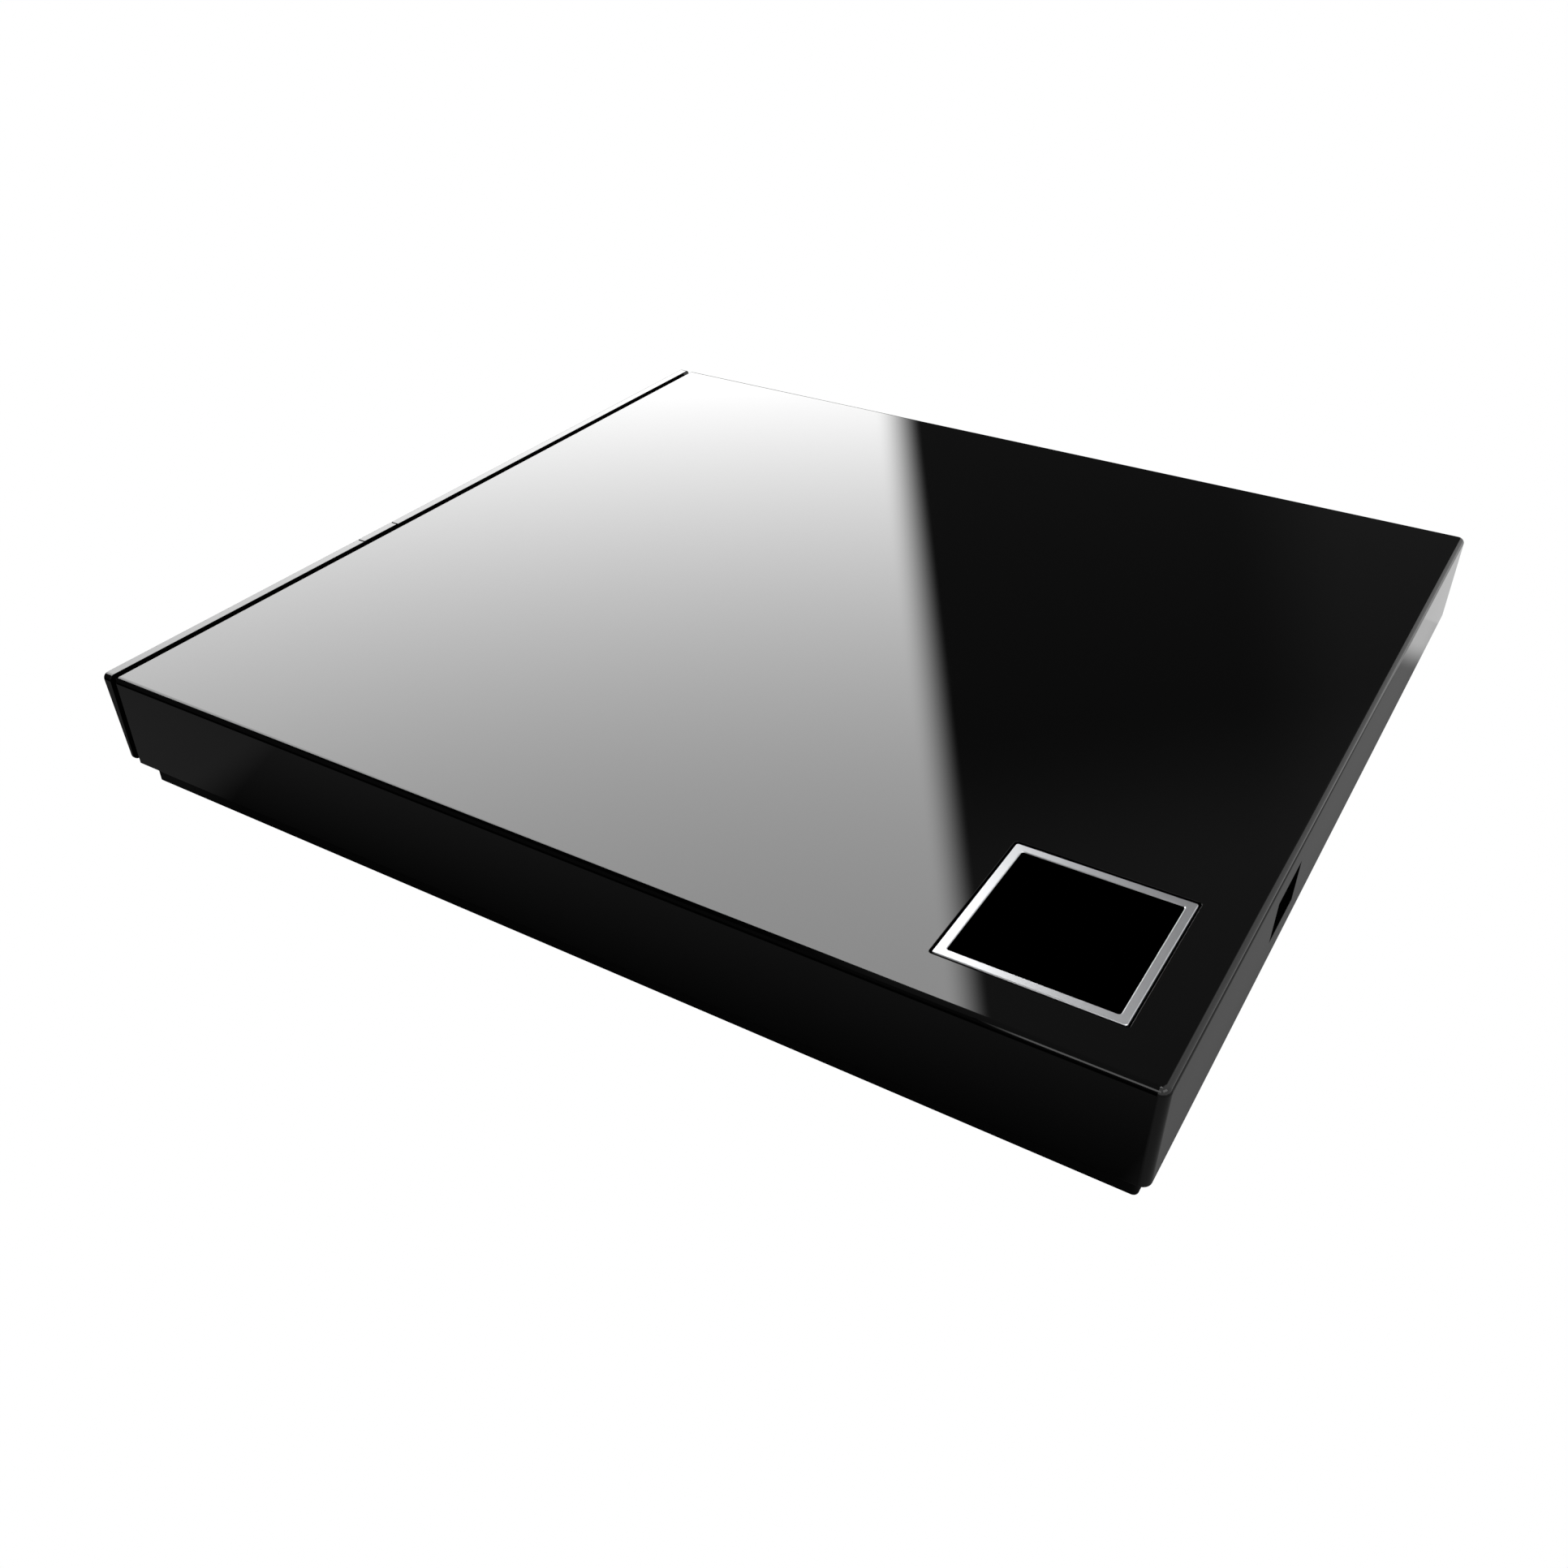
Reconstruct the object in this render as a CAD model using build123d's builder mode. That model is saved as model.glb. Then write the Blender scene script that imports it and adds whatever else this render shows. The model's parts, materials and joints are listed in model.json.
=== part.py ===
from build123d import *
import os

# External slimline optical drive.  Millimetres.  The origin is on the table under the middle of the case,
# +Z up, the tray opens towards -Y and +X is the right-hand side seen from the front.

# ---------------------------------------------------------------------------------------- driving sizes
# Case
case_width = 155.0  # X
case_length = 170.0  # Y, bezel face to rear face
case_height = 19.8  # underside of the base to the top face
foot_height = 0.8  # what the feet stand out of the base
shell_height = 15.4  # top face to the shell's lower edge
shell_wall = 1.8
shell_corner_r = 1.3
shell_inner_r = 0.7
shell_edge_r = 0.9
shell_front_r = 0.15
rear_lean = 0.45  # how far the rear face leans in at its lower edge
lip_gap = 0.3  # between the shell's inside and the base's wall
base_wall = 1.5
base_floor = 1.8
base_corner_r = 0.7
base_edge = 0.2
lip_rise = 3.0  # how far the base's wall reaches up inside the shell
# Bezel
bezel_thick = 2.05
bezel_lean = 1.1  # how far the face leans back at its lower edge
bezel_gap = 0.8  # bezel to shell
seam_depth = 1.0  # a step round the bezel's rear edge widens the dark seam
seam_step = 0.45
# Emblem
emblem_size = 24.4
emblem_band = 1.3
emblem_groove = 0.35
emblem_depth = 1.1
emblem_r = 0.3  # outer corners of the frame
emblem_inset = (19.75, 19.85)  # centre, in from the right side and from the rear
# Fasteners
screw_r = 1.0
screw_hole_r = 1.1
screw_head_r = 2.0
screw_head = 1.2
head_clearance = 0.1
post_r = 3.0
# Feet
foot_r = 5.5
foot_recess = 0.6
foot_inset = (15.5, 14.0)  # centre, in from the side and from the front or rear of the case
# Mechanism
drive_width = 128.0
drive_height = 12.7
drive_length = 131.0
sheet = 0.4  # sheet metal of the mechanism's case
standoff = 3.0  # base floor to mechanism
drive_setback = 2.95  # bezel's back to the mechanism's front edge
slide_gap = 0.3  # every side of a sliding rail
# Discs
disc_r = 60.0
small_disc_r = 40.0
disc_rim_gap = 1.0
hub_r = 7.45
tray_travel = 130.0
# Traverse unit
rod_r = 1.0
running = 0.05  # radial clearance of a running fit
rod_spacing = 24.0
sled_travel = 33.0
lens_start = 24.0  # lens to spindle axis with the sled at its inner end
screw_thread_r = 1.2

# ---------------------------------------------------------------------------------------- worked-out levels
x_side = case_width / 2
y_front = -case_length / 2
y_rear = case_length / 2
z_base = foot_height
z_floor = z_base + base_floor
z_top = z_base + case_height
z_shell = z_top - shell_height
z_ceiling = z_top - shell_wall
y_bezel = y_front + bezel_thick
y_shell = y_bezel + bezel_gap
y_wall = y_rear - shell_wall  # inside of the rear wall

base_x = x_side - shell_wall - lip_gap
base_rear = y_wall - lip_gap
base_front = y_bezel + 1.25
base_inner_front = base_front + base_wall
lip_top = z_shell + lip_rise

drive_z = z_floor + standoff
drive_top = drive_z + drive_height
drive_front = y_bezel + drive_setback
drive_rear = drive_front + drive_length
drive_x = drive_width / 2
pan_top = drive_z + sheet  # top of the mechanism's floor
pan_x = drive_x - sheet - 0.1  # outside of the lower case's side walls
pan_inner = pan_x - sheet

guide_inner = pan_inner - 2.2
guide_z = (drive_z + 2.4, drive_z + 7.6)
channel_z = (guide_z[0] + 0.9, guide_z[1] - 0.9)
channel_x = pan_inner - 0.8
rail_z = (channel_z[0] + slide_gap, channel_z[1] - slide_gap)
rail_x = (guide_inner - 2.0, channel_x - slide_gap)
rail_y = (drive_front + 0.5, drive_front + 113.0)
groove_x = rail_x[0] - slide_gap

tray_front = y_bezel
tray_x = pan_inner - 0.4
body_x = guide_inner - slide_gap
body_inner = groove_x - 1.2
spindle_y = tray_front + 2.45 + disc_rim_gap + disc_r
tray_rear = spindle_y + disc_r + disc_rim_gap + 2.5
tray_wall = 2.5
plate_z = (pan_top + 0.5, pan_top + 0.5 + sheet)  # tray's bottom plate
tray_low = plate_z[1]
tray_under = drive_z + 7.4  # underside of the tray's deck between the rails
deck_z = drive_z + 8.6  # floor of the disc recess
tray_top = drive_z + 11.2
disc_z = deck_z + 0.6  # underside of a disc on the turntable

rod_z = drive_z + 4.1
chassis_z = (drive_z + 1.4, drive_z + 2.4)
sled_z = (drive_z + 1.7, drive_z + 6.8)
board_z = drive_z + 5.85  # top of the bridge board and of the mechanism's rear board
lane_x = 52.5  # the latch post's path through the tray
lane_half = 2.0

usb_x = 29.5
usb_slot = (10.4, 6.8)
usb_slot_rise = 2.6  # receptacle's middle to the slot's upper edge
usb_shell = (7.7, 3.9)
usb_z = board_z + usb_shell[1] / 2
usb_setback = 2.3  # receptacle's mouth behind the inside of the rear wall

corner_posts = [
    (x_side - 8.0, y_shell + 8.6),
    (8.0 - x_side, y_shell + 8.6),
    (x_side - 8.0, y_rear - 8.0),
    (8.0 - x_side, y_rear - 8.0),
]
post_meet = z_base + 8.2  # where base posts and shell bosses meet
drive_mounts = [(x, drive_front + y) for x in (-50.0, 50.0) for y in (12.0, 112.0)]
foot_places = {
    "front_left": (foot_inset[0] - x_side, y_front + foot_inset[1]),
    "front_right": (x_side - foot_inset[0], y_front + foot_inset[1]),
    "rear_left": (foot_inset[0] - x_side, y_rear - foot_inset[1]),
    "rear_right": (x_side - foot_inset[0], y_rear - foot_inset[1]),
}

# The pickup runs on a diagonal from the spindle towards the tray's front left corner.  In this plane x is
# the way out from the spindle's axis and y is across the rods.
traverse = Plane(origin=(0, spindle_y, 0), x_dir=(-1, -1, 0), z_dir=(0, 0, 1))
spindle_plane = Plane(origin=(0, spindle_y, 0), x_dir=(1, 0, 0), z_dir=(0, 0, 1))


# ---------------------------------------------------------------------------------------- helpers
def block(x, y, z, mode=Mode.ADD):
    """Add or cut a box that spans the given ranges."""
    with Locations(((x[0] + x[1]) / 2, (y[0] + y[1]) / 2, (z[0] + z[1]) / 2)):
        Box(x[1] - x[0], y[1] - y[0], z[1] - z[0], mode=mode)


def post(place, z, r, mode=Mode.ADD):
    """Add or cut an upright cylinder at a place, or at each of several."""
    places = place if isinstance(place, list) else [place]
    with Locations(*[(x, y, (z[0] + z[1]) / 2) for x, y in places]):
        Cylinder(r, z[1] - z[0], mode=mode)


def bar(y, x_at, z_at, r, mode=Mode.ADD):
    """Add or cut a cylinder that lies along Y."""
    with Locations((x_at, (y[0] + y[1]) / 2, z_at)):
        Cylinder(r, y[1] - y[0], rotation=(90, 0, 0), mode=mode)


def rod(x, y_at, z_at, r, mode=Mode.ADD):
    """Add or cut a cylinder that lies along X."""
    with Locations(((x[0] + x[1]) / 2, y_at, z_at)):
        Cylinder(r, x[1] - x[0], rotation=(0, 90, 0), mode=mode)


def screw(place, seat, tip, head_r, head, r, up=True):
    """Add a screw whose head bears on the seat and whose shank ends at the tip."""
    head_z = (seat - head, seat) if up else (seat, seat + head)
    post(place, head_z, head_r)
    post(place, (min(seat, tip), max(seat, tip)), r)


def save(piece, label):
    """Name a finished piece and write its STEP file."""
    piece.part.label = label
    export_step(piece.part, f"parts/{label}.step")


os.makedirs("parts", exist_ok=True)

# ======================================================================================== case
emblem_at = (x_side - emblem_inset[0], y_rear - emblem_inset[1])
emblem_pocket = emblem_size + 2 * emblem_groove

with BuildPart() as top_cover:
    with BuildSketch(Plane.YZ.offset(-x_side)):
        with BuildLine():
            Polyline(
                (y_shell, z_top),
                (y_rear, z_top),
                (y_rear - rear_lean, z_shell),
                (y_shell, z_shell),
                close=True,
            )
        make_face()
    extrude(amount=case_width)
    fillet(faces().sort_by(Axis.Y)[-1].edges().sort_by(Axis.X)[:1], radius=shell_corner_r)
    fillet(faces().sort_by(Axis.Y)[-1].edges().sort_by(Axis.X)[-1:], radius=shell_corner_r)
    top_edges = faces().sort_by(Axis.Z)[-1].edges()
    fillet(top_edges.sort_by(Axis.Y)[1:], radius=shell_edge_r)
    front_edges = faces().sort_by(Axis.Y)[0].edges()
    fillet(front_edges.sort_by(Axis.Z)[1:], radius=shell_front_r)
    with BuildSketch(Plane.XY.offset(z_shell)):
        with Locations((0, (y_shell + y_wall) / 2)):
            Rectangle(case_width - 2 * shell_wall, y_wall - y_shell)
        fillet(vertices().group_by(Axis.Y)[-1], radius=shell_inner_r)
    extrude(amount=shell_height - shell_wall, mode=Mode.SUBTRACT)
    # rear port slot
    block(
        (usb_x - usb_slot[0] / 2, usb_x + usb_slot[0] / 2),
        (y_wall - 1, y_rear + 1),
        (usb_z + usb_slot_rise - usb_slot[1], usb_z + usb_slot_rise),
        Mode.SUBTRACT,
    )
    # screw bosses
    post(corner_posts, (post_meet, z_ceiling), post_r)
    post(corner_posts, (post_meet, post_meet + 5.0), screw_r, Mode.SUBTRACT)
    # emblem pocket
    with BuildSketch(Plane.XY.offset(z_top)):
        with Locations(emblem_at):
            RectangleRounded(emblem_pocket, emblem_pocket, emblem_r + 0.5 * emblem_groove)
    extrude(amount=-emblem_depth, mode=Mode.SUBTRACT)
save(top_cover, "top_cover")

emblem_inner = emblem_size - 2 * emblem_band
emblem_inner_r = 0.35
with BuildPart() as emblem_frame:
    with BuildSketch(Plane.XY.offset(z_top - emblem_depth)):
        with Locations(emblem_at):
            RectangleRounded(emblem_size, emblem_size, emblem_r)
            RectangleRounded(emblem_inner, emblem_inner, emblem_inner_r, mode=Mode.SUBTRACT)
    extrude(amount=emblem_depth)
    chamfer(faces().sort_by(Axis.Z)[-1].edges(), length=0.1)
save(emblem_frame, "emblem_frame")

window_size = emblem_inner - 0.1
with BuildPart() as emblem_window:
    with BuildSketch(Plane.XY.offset(z_top - emblem_depth)):
        with Locations(emblem_at):
            RectangleRounded(window_size, window_size, emblem_inner_r - 0.05)
    extrude(amount=emblem_depth - 0.1)
save(emblem_window, "emblem_window")

mouth_x = drive_x + 0.3
cheek_top = z_ceiling - 0.4
with BuildPart() as bottom_cover:
    with BuildSketch(Plane.XY.offset(z_base)):
        with Locations((0, (base_front + base_rear) / 2)):
            Rectangle(2 * base_x, base_rear - base_front)
        fillet(vertices(), radius=base_corner_r)
    extrude(amount=lip_top - z_base)
    chamfer(faces().sort_by(Axis.Z)[0].edges(), length=base_edge)
    block(
        (base_wall - base_x, base_x - base_wall),
        (base_inner_front, base_rear - base_wall),
        (z_floor, lip_top + 1),
        Mode.SUBTRACT,
    )
    # front cheeks beside the mechanism's mouth, and the sill under it
    for side in (-1, 1):
        inner, outer = sorted((side * mouth_x, side * (base_x - base_corner_r)))
        block((inner, outer), (base_front, base_inner_front), (lip_top, cheek_top))
    block((-mouth_x, mouth_x), (base_front - 1, base_inner_front), (pan_top, lip_top + 1), Mode.SUBTRACT)
    # posts for the case screws and under the mechanism
    post(corner_posts, (z_floor, post_meet), post_r)
    post(drive_mounts, (z_floor, drive_z), post_r)
    screw_places = corner_posts + drive_mounts
    post(screw_places, (z_base, post_meet + 1), screw_hole_r, Mode.SUBTRACT)
    post(screw_places, (z_base, z_base + 1.6), screw_head_r + head_clearance, Mode.SUBTRACT)
    # recesses for the feet
    post(list(foot_places.values()), (z_base, z_base + foot_recess), foot_r, Mode.SUBTRACT)
    # posts under the bridge board
    board_posts = [(usb_x - 14.0, y_wall - 5.0), (usb_x + 22.0, y_wall - 5.0), (usb_x - 14.0, y_wall - 23.0)]
    post(board_posts, (z_floor, board_z - 1.6), 2.5)
    post(board_posts, (board_z - 1.6 - 4.0, board_z - 1.6), screw_r * 0.8, Mode.SUBTRACT)
save(bottom_cover, "bottom_cover")

for place_name, place in foot_places.items():
    with BuildPart() as foot:
        post(place, (0, foot_height + foot_recess), foot_r)
        fillet(faces().sort_by(Axis.Z)[0].edges(), radius=0.3)
    save(foot, f"foot_{place_name}")

# four long screws join the case and four short ones hold the mechanism
case_seat = z_base + 1.6
with BuildPart() as case_screws:
    screw(corner_posts, case_seat, post_meet + 5.0, screw_head_r, screw_head, screw_r)
    screw(drive_mounts, case_seat, pan_top, screw_head_r, screw_head, screw_r)
    post(screw_places, (case_seat - screw_head, case_seat - screw_head + 0.5), 0.8, Mode.SUBTRACT)
save(case_screws, "case_screws")

# ======================================================================================== bezel and button
button_x = (15.5, 23.5)
button_height = 9.6
button_gap = 0.3
button_thick = 1.5
button_z = z_top - button_height
lens_x = 29.0
lens_z = drive_z + 5.4
lamp_x = (lens_x - 1.5, lens_x + 1.5)
lamp_z = (lens_z - 0.5, lens_z + 0.5)
pinhole = (36.0, drive_z + 3.5)
front_lean = bezel_lean / shell_height


# The whole front panel before its openings are cut.
with BuildPart() as bezel_blank:
    with BuildSketch(Plane.XZ.offset(-y_front)):
        with Locations((0, (z_shell + z_top) / 2)):
            Rectangle(case_width, shell_height)
        fillet(vertices(), radius=shell_edge_r)
    extrude(amount=-bezel_thick)
    with BuildSketch(Plane.YZ.offset(-x_side)):
        with BuildLine():
            Polyline(
                (y_front, z_top),
                (y_bezel, z_top),
                (y_bezel, z_shell),
                (y_front + bezel_lean, z_shell),
                close=True,
            )
        make_face()
    extrude(amount=case_width, mode=Mode.INTERSECT)
    fillet(faces().filter_by(GeomType.PLANE).sort_by(Axis.Y)[0].edges(), radius=shell_front_r)
    with BuildSketch(Plane.XZ.offset(-y_bezel)):
        with Locations((0, (z_shell + z_top) / 2)):
            Rectangle(case_width + 1, shell_height + 1)
            Rectangle(case_width - 2 * seam_depth, shell_height - 2 * seam_depth, mode=Mode.SUBTRACT)
    extrude(amount=seam_step, mode=Mode.SUBTRACT)

with BuildPart() as front_bezel:
    add(bezel_blank.part)
    block(
        (button_x[0] - button_gap, button_x[1] + button_gap),
        (y_front - 1, y_bezel + 1),
        (button_z - button_gap, z_top + 1),
        Mode.SUBTRACT,
    )
    block(lamp_x, (y_front - 1, y_bezel + 1), lamp_z, Mode.SUBTRACT)
    bar((y_front - 1, y_bezel + 1), pinhole[0], pinhole[1], 0.6, Mode.SUBTRACT)
save(front_bezel, "front_bezel")

board_front = tray_front + 2.95  # face of the small board behind the bezel
switch_front = board_front - 1.7
button_travel = 0.5
with BuildPart() as eject_button:
    add(bezel_blank.part)
    block(button_x, (y_front - 1, y_front + button_thick), (button_z, z_top + 1), Mode.INTERSECT)
    stem_x = (button_x[0] + 3.0, button_x[1] - 3.0)
    stem_y = (y_front + button_thick, switch_front - button_travel - 0.1)
    block(stem_x, stem_y, (button_z + 0.2, button_z + 1.6))
save(eject_button, "eject_button")

lamp_front = board_front - 1.2
with BuildPart() as status_lens:
    face_y = y_front + front_lean * (z_top - lens_z)
    block(lamp_x, (face_y, lamp_front), lamp_z)
save(status_lens, "status_lens")

board_z_front = (plate_z[1] + 0.4, tray_under + 0.4)
with BuildPart() as front_board:
    block((12.5, 33.5), (board_front, board_front + 0.8), board_z_front)
save(front_board, "front_board")

with BuildPart() as eject_switch:
    block((17.5, 21.5), (switch_front + 0.4, board_front), (button_z - 0.6, button_z + 2.4))
    bar((switch_front, switch_front + 0.4), 19.5, button_z + 0.9, 0.7)
    block((lens_x - 1.0, lens_x + 1.0), (lamp_front, board_front), (lens_z - 0.6, lens_z + 0.6))
save(eject_switch, "eject_switch")

# ==================================================================================== mechanism, fixed half
latch_post = (lane_x, drive_front + 10.0)
side_screws = [(drive_front + y, side) for side in (1, -1) for y in (10.0, 118.0)]
side_holes = {side: sorted((side * (drive_x - 2.0), side * (drive_x + 1.0))) for side in (1, -1)}
side_screw_z = drive_top - 2.3
connector_x = (22.0, 48.0)
connector_z = (board_z, board_z + 3.8)

with BuildPart() as drive_bottom_case:
    block((-pan_x, pan_x), (drive_front, drive_rear), (drive_z, drive_top - sheet))
    block(
        (-pan_inner, pan_inner),
        (drive_front - 1, drive_rear - sheet),
        (pan_top, drive_top),
        Mode.SUBTRACT,
    )
    post(latch_post, (pan_top, drive_z + 4.4), 1.2)
    post(drive_mounts, (drive_z, pan_top), screw_r, Mode.SUBTRACT)
    block(connector_x, (drive_rear - 1, drive_rear + 1), (board_z, connector_z[1] + 0.2), Mode.SUBTRACT)
    for y_at, side in side_screws:
        rod(side_holes[side], y_at, side_screw_z, 0.8, Mode.SUBTRACT)
save(drive_bottom_case, "drive_bottom_case")

flange_drop = 4.0
with BuildPart() as drive_top_case:
    block((-drive_x, drive_x), (drive_front, drive_rear), (drive_top - flange_drop, drive_top))
    block(
        (sheet - drive_x, drive_x - sheet),
        (drive_front - 1, drive_rear + 1),
        (drive_top - flange_drop - 1, drive_top - sheet),
        Mode.SUBTRACT,
    )
    for y_at, side in side_screws:
        rod(side_holes[side], y_at, side_screw_z, 0.8, Mode.SUBTRACT)
save(drive_top_case, "drive_top_case")

with BuildPart() as drive_case_screws:
    for y_at, side in side_screws:
        head = sorted((side * drive_x, side * (drive_x + 0.5)))
        shank = sorted((side * pan_inner, side * drive_x))
        rod(head, y_at, side_screw_z, 1.4)
        rod(shank, y_at, side_screw_z, 0.8)
save(drive_case_screws, "drive_case_screws")

for side_name, side in (("left", -1), ("right", 1)):
    with BuildPart() as rail_guide:
        guide_x = sorted((side * guide_inner, side * pan_inner))
        block(guide_x, (drive_front + 0.2, drive_front + 114.0), guide_z)
        block(
            sorted((side * (guide_inner - 1), side * channel_x)),
            (drive_front - 1, drive_front + 115.0),
            channel_z,
            Mode.SUBTRACT,
        )
    save(rail_guide, f"rail_guide_{side_name}")
    with BuildPart() as slide_rail:
        block(sorted((side * rail_x[0], side * rail_x[1])), rail_y, rail_z)
        # oblong lightening hole along the rail
        with BuildSketch(Plane.XY.offset(rail_z[0])):
            with Locations((side * (rail_x[0] + rail_x[1]) / 2, (rail_y[0] + rail_y[1]) / 2)):
                SlotOverall(rail_y[1] - rail_y[0] - 16.0, 1.2, rotation=90)
        extrude(amount=rail_z[1] - rail_z[0], mode=Mode.SUBTRACT)
    save(slide_rail, f"slide_rail_{side_name}")

rear_board_y = (tray_rear + 0.8, drive_rear - sheet)
with BuildPart() as drive_rear_board:
    block((-54.0, 58.0), rear_board_y, (board_z - 0.8, board_z))
save(drive_rear_board, "drive_rear_board")

plug_y = (rear_board_y[0] + 1.2, drive_rear + 1.0)
with BuildPart() as drive_sata_plug:
    block(connector_x, plug_y, connector_z)
    block(
        (connector_x[0] + 2.0, connector_x[1] - 2.0),
        (drive_rear - sheet, plug_y[1]),
        (connector_z[0] + 1.0, connector_z[1] - 1.0),
        Mode.SUBTRACT,
    )
save(drive_sata_plug, "drive_sata_plug")

# Flat ribbon: a fixed run on the floor, a folded loop that follows at half travel, and a tail on the tray.
ribbon_x = (-50.5, -37.5)
ribbon = 0.08
ribbon_pitch = 0.14  # one run of the ribbon to the next above it
loop_front = drive_front + 18.5
tail_start = loop_front + tray_travel / 2 + 1.5
lower_z = (pan_top + ribbon_pitch, pan_top + ribbon_pitch + ribbon)
upper_z = (lower_z[0] + ribbon_pitch, lower_z[1] + ribbon_pitch)
tail_z = (plate_z[0] + 0.1, plate_z[0] + 0.1 + ribbon)
riser_y = tray_rear + 2.0
with BuildPart() as flex_ribbon_fixed:
    block(ribbon_x, (loop_front, riser_y), (pan_top, pan_top + ribbon))
    block(ribbon_x, (riser_y, riser_y + ribbon), (pan_top, board_z - 0.8))
save(flex_ribbon_fixed, "flex_ribbon_fixed")

with BuildPart() as flex_ribbon_loop:
    block(ribbon_x, (loop_front, loop_front + tray_travel / 2), lower_z)
    block(ribbon_x, (loop_front, loop_front + tray_travel / 2), upper_z)
    block(ribbon_x, (loop_front - ribbon, loop_front), (lower_z[0], upper_z[1]))
save(flex_ribbon_loop, "flex_ribbon_loop")

# ======================================================================================== disc tray
hollow_y = (tray_front + tray_wall, tray_rear - tray_wall)
recess_r = disc_r + disc_rim_gap
cover_z = (deck_z - 0.7, deck_z - 0.3)
opening_half = 16.0
ledge = 1.5
opening_r = 20.0
damper_places = [(-16.0, -16.0), (-16.0, 16.0), (59.0, 17.5)]
latch_pivot = (lane_x - lane_half - 2.0, drive_front + 26.0)
ejector_x = -30.0
ejector_z = drive_z + 3.2
ejector_stop = tray_rear - 15.0
tray_board_y = (tray_rear - 30.0, tray_rear - 17.0)
tray_board_x = (-54.0, 16.0)
tail_up = tray_board_y[0] - 4.0
tray_board_z = (drive_z + 1.8, drive_z + 2.6)
tray_board_mounts = [
    (tray_board_x[0] + 2.5, tray_board_y[1] - 2.0),
    (tray_board_x[1] - 2.5, tray_board_y[1] - 2.0),
    (tray_board_x[1] - 2.5, tray_board_y[0] + 2.0),
]


def traverse_opening(margin, reach):
    """Outline of the opening in the tray's deck, in the traverse plane."""
    Circle(opening_r + margin)
    with Locations((40.0, 0)):
        Rectangle(80.0, 2 * (opening_half + margin))
    Circle(reach, mode=Mode.INTERSECT)


with BuildPart() as disc_tray:
    block((-tray_x, tray_x), (tray_front, tray_rear), (guide_z[1] + slide_gap, tray_top))
    fillet(edges().filter_by(Axis.Z).group_by(Axis.Y)[-1], radius=3.0)
    block((-body_x, body_x), (tray_front, tray_rear), (tray_low, guide_z[1] + slide_gap))
    block((-body_inner, body_inner), hollow_y, (tray_low, tray_under), Mode.SUBTRACT)
    for side in (-1, 1):
        groove = sorted((side * groove_x, side * (body_x + 1)))
        block(groove, (hollow_y[0], tray_rear + 1), channel_z, Mode.SUBTRACT)
    # disc recesses and finger scallops
    post((0, spindle_y), (deck_z, tray_top + 1), recess_r, Mode.SUBTRACT)
    post((0, spindle_y), (deck_z - 0.3, deck_z), small_disc_r + disc_rim_gap, Mode.SUBTRACT)
    scallop = (recess_r + 1.0) / 2**0.5
    scallops = [(sx * scallop, spindle_y + sy * scallop) for sx in (-1, 1) for sy in (-1, 1)]
    post(scallops, (deck_z, tray_top + 1), 8.0, Mode.SUBTRACT)
    # opening for the spindle and the pickup, with a ledge for its cover plate
    with BuildSketch(traverse.offset(tray_under)):
        traverse_opening(0, recess_r - 0.1)
    extrude(amount=deck_z - tray_under, mode=Mode.SUBTRACT)
    with BuildSketch(traverse.offset(cover_z[0])):
        traverse_opening(ledge, recess_r - 0.1)
    extrude(amount=deck_z - cover_z[0], mode=Mode.SUBTRACT)
    # pocket for the front board, button clearance and emergency hole
    block((12.0, 34.0), (tray_front, board_front + 1.4), (tray_low, tray_under + 0.6), Mode.SUBTRACT)
    block(
        (button_x[0] - 0.6, button_x[1] + 0.6),
        (tray_front, tray_front + 0.8),
        (tray_under, tray_top),
        Mode.SUBTRACT,
    )
    bar((tray_front - 1, hollow_y[0] + 1), pinhole[0], pinhole[1], 0.6, Mode.SUBTRACT)
    # notch in the rear wall for the latch post, and the bore for the ejector pin
    block(
        (lane_x - lane_half, lane_x + lane_half),
        (hollow_y[1] - 1, tray_rear + 1),
        (tray_low, drive_z + 5.0),
        Mode.SUBTRACT,
    )
    block((ejector_x - 3.0, ejector_x + 3.0), (ejector_stop - 2.0, ejector_stop), (tray_low, tray_under))
    bar((hollow_y[1] - 1, tray_rear + 1), ejector_x, ejector_z, 1.25, Mode.SUBTRACT)
    bar((ejector_stop - 3.0, ejector_stop + 1), ejector_x, ejector_z, 0.95, Mode.SUBTRACT)
    # bosses under the deck
    post(tray_board_mounts, (tray_board_z[1], tray_under), 2.0)
    post(tray_board_mounts, (tray_board_z[1], tray_board_z[1] + 2.2), 0.8, Mode.SUBTRACT)
    post(latch_pivot, (drive_z + 4.3, tray_under), 2.0)
    post(latch_pivot, (drive_z + 1.8, drive_z + 4.3), 1.0)
    with Locations(traverse):
        with Locations(*[(u, v, (drive_z + 4.6 + tray_under) / 2) for u, v in damper_places]):
            Cylinder(2.6, tray_under - drive_z - 4.6)
        with Locations(*[(u, v, drive_z + 5.9) for u, v in damper_places]):
            Cylinder(screw_r, 2.6, mode=Mode.SUBTRACT)
save(disc_tray, "disc_tray")

slot_half = 6.5
with BuildPart() as tray_cover_plate:
    with BuildSketch(traverse.offset(cover_z[0])):
        traverse_opening(ledge - 0.1, recess_r - 0.2)
        Circle(15.0, mode=Mode.SUBTRACT)
        with Locations((recess_r / 2 + 7.5, 0)):
            Rectangle(recess_r - 15.0 + 8.0, 2 * slot_half, mode=Mode.SUBTRACT)
    extrude(amount=cover_z[1] - cover_z[0])
save(tray_cover_plate, "tray_cover_plate")

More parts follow.
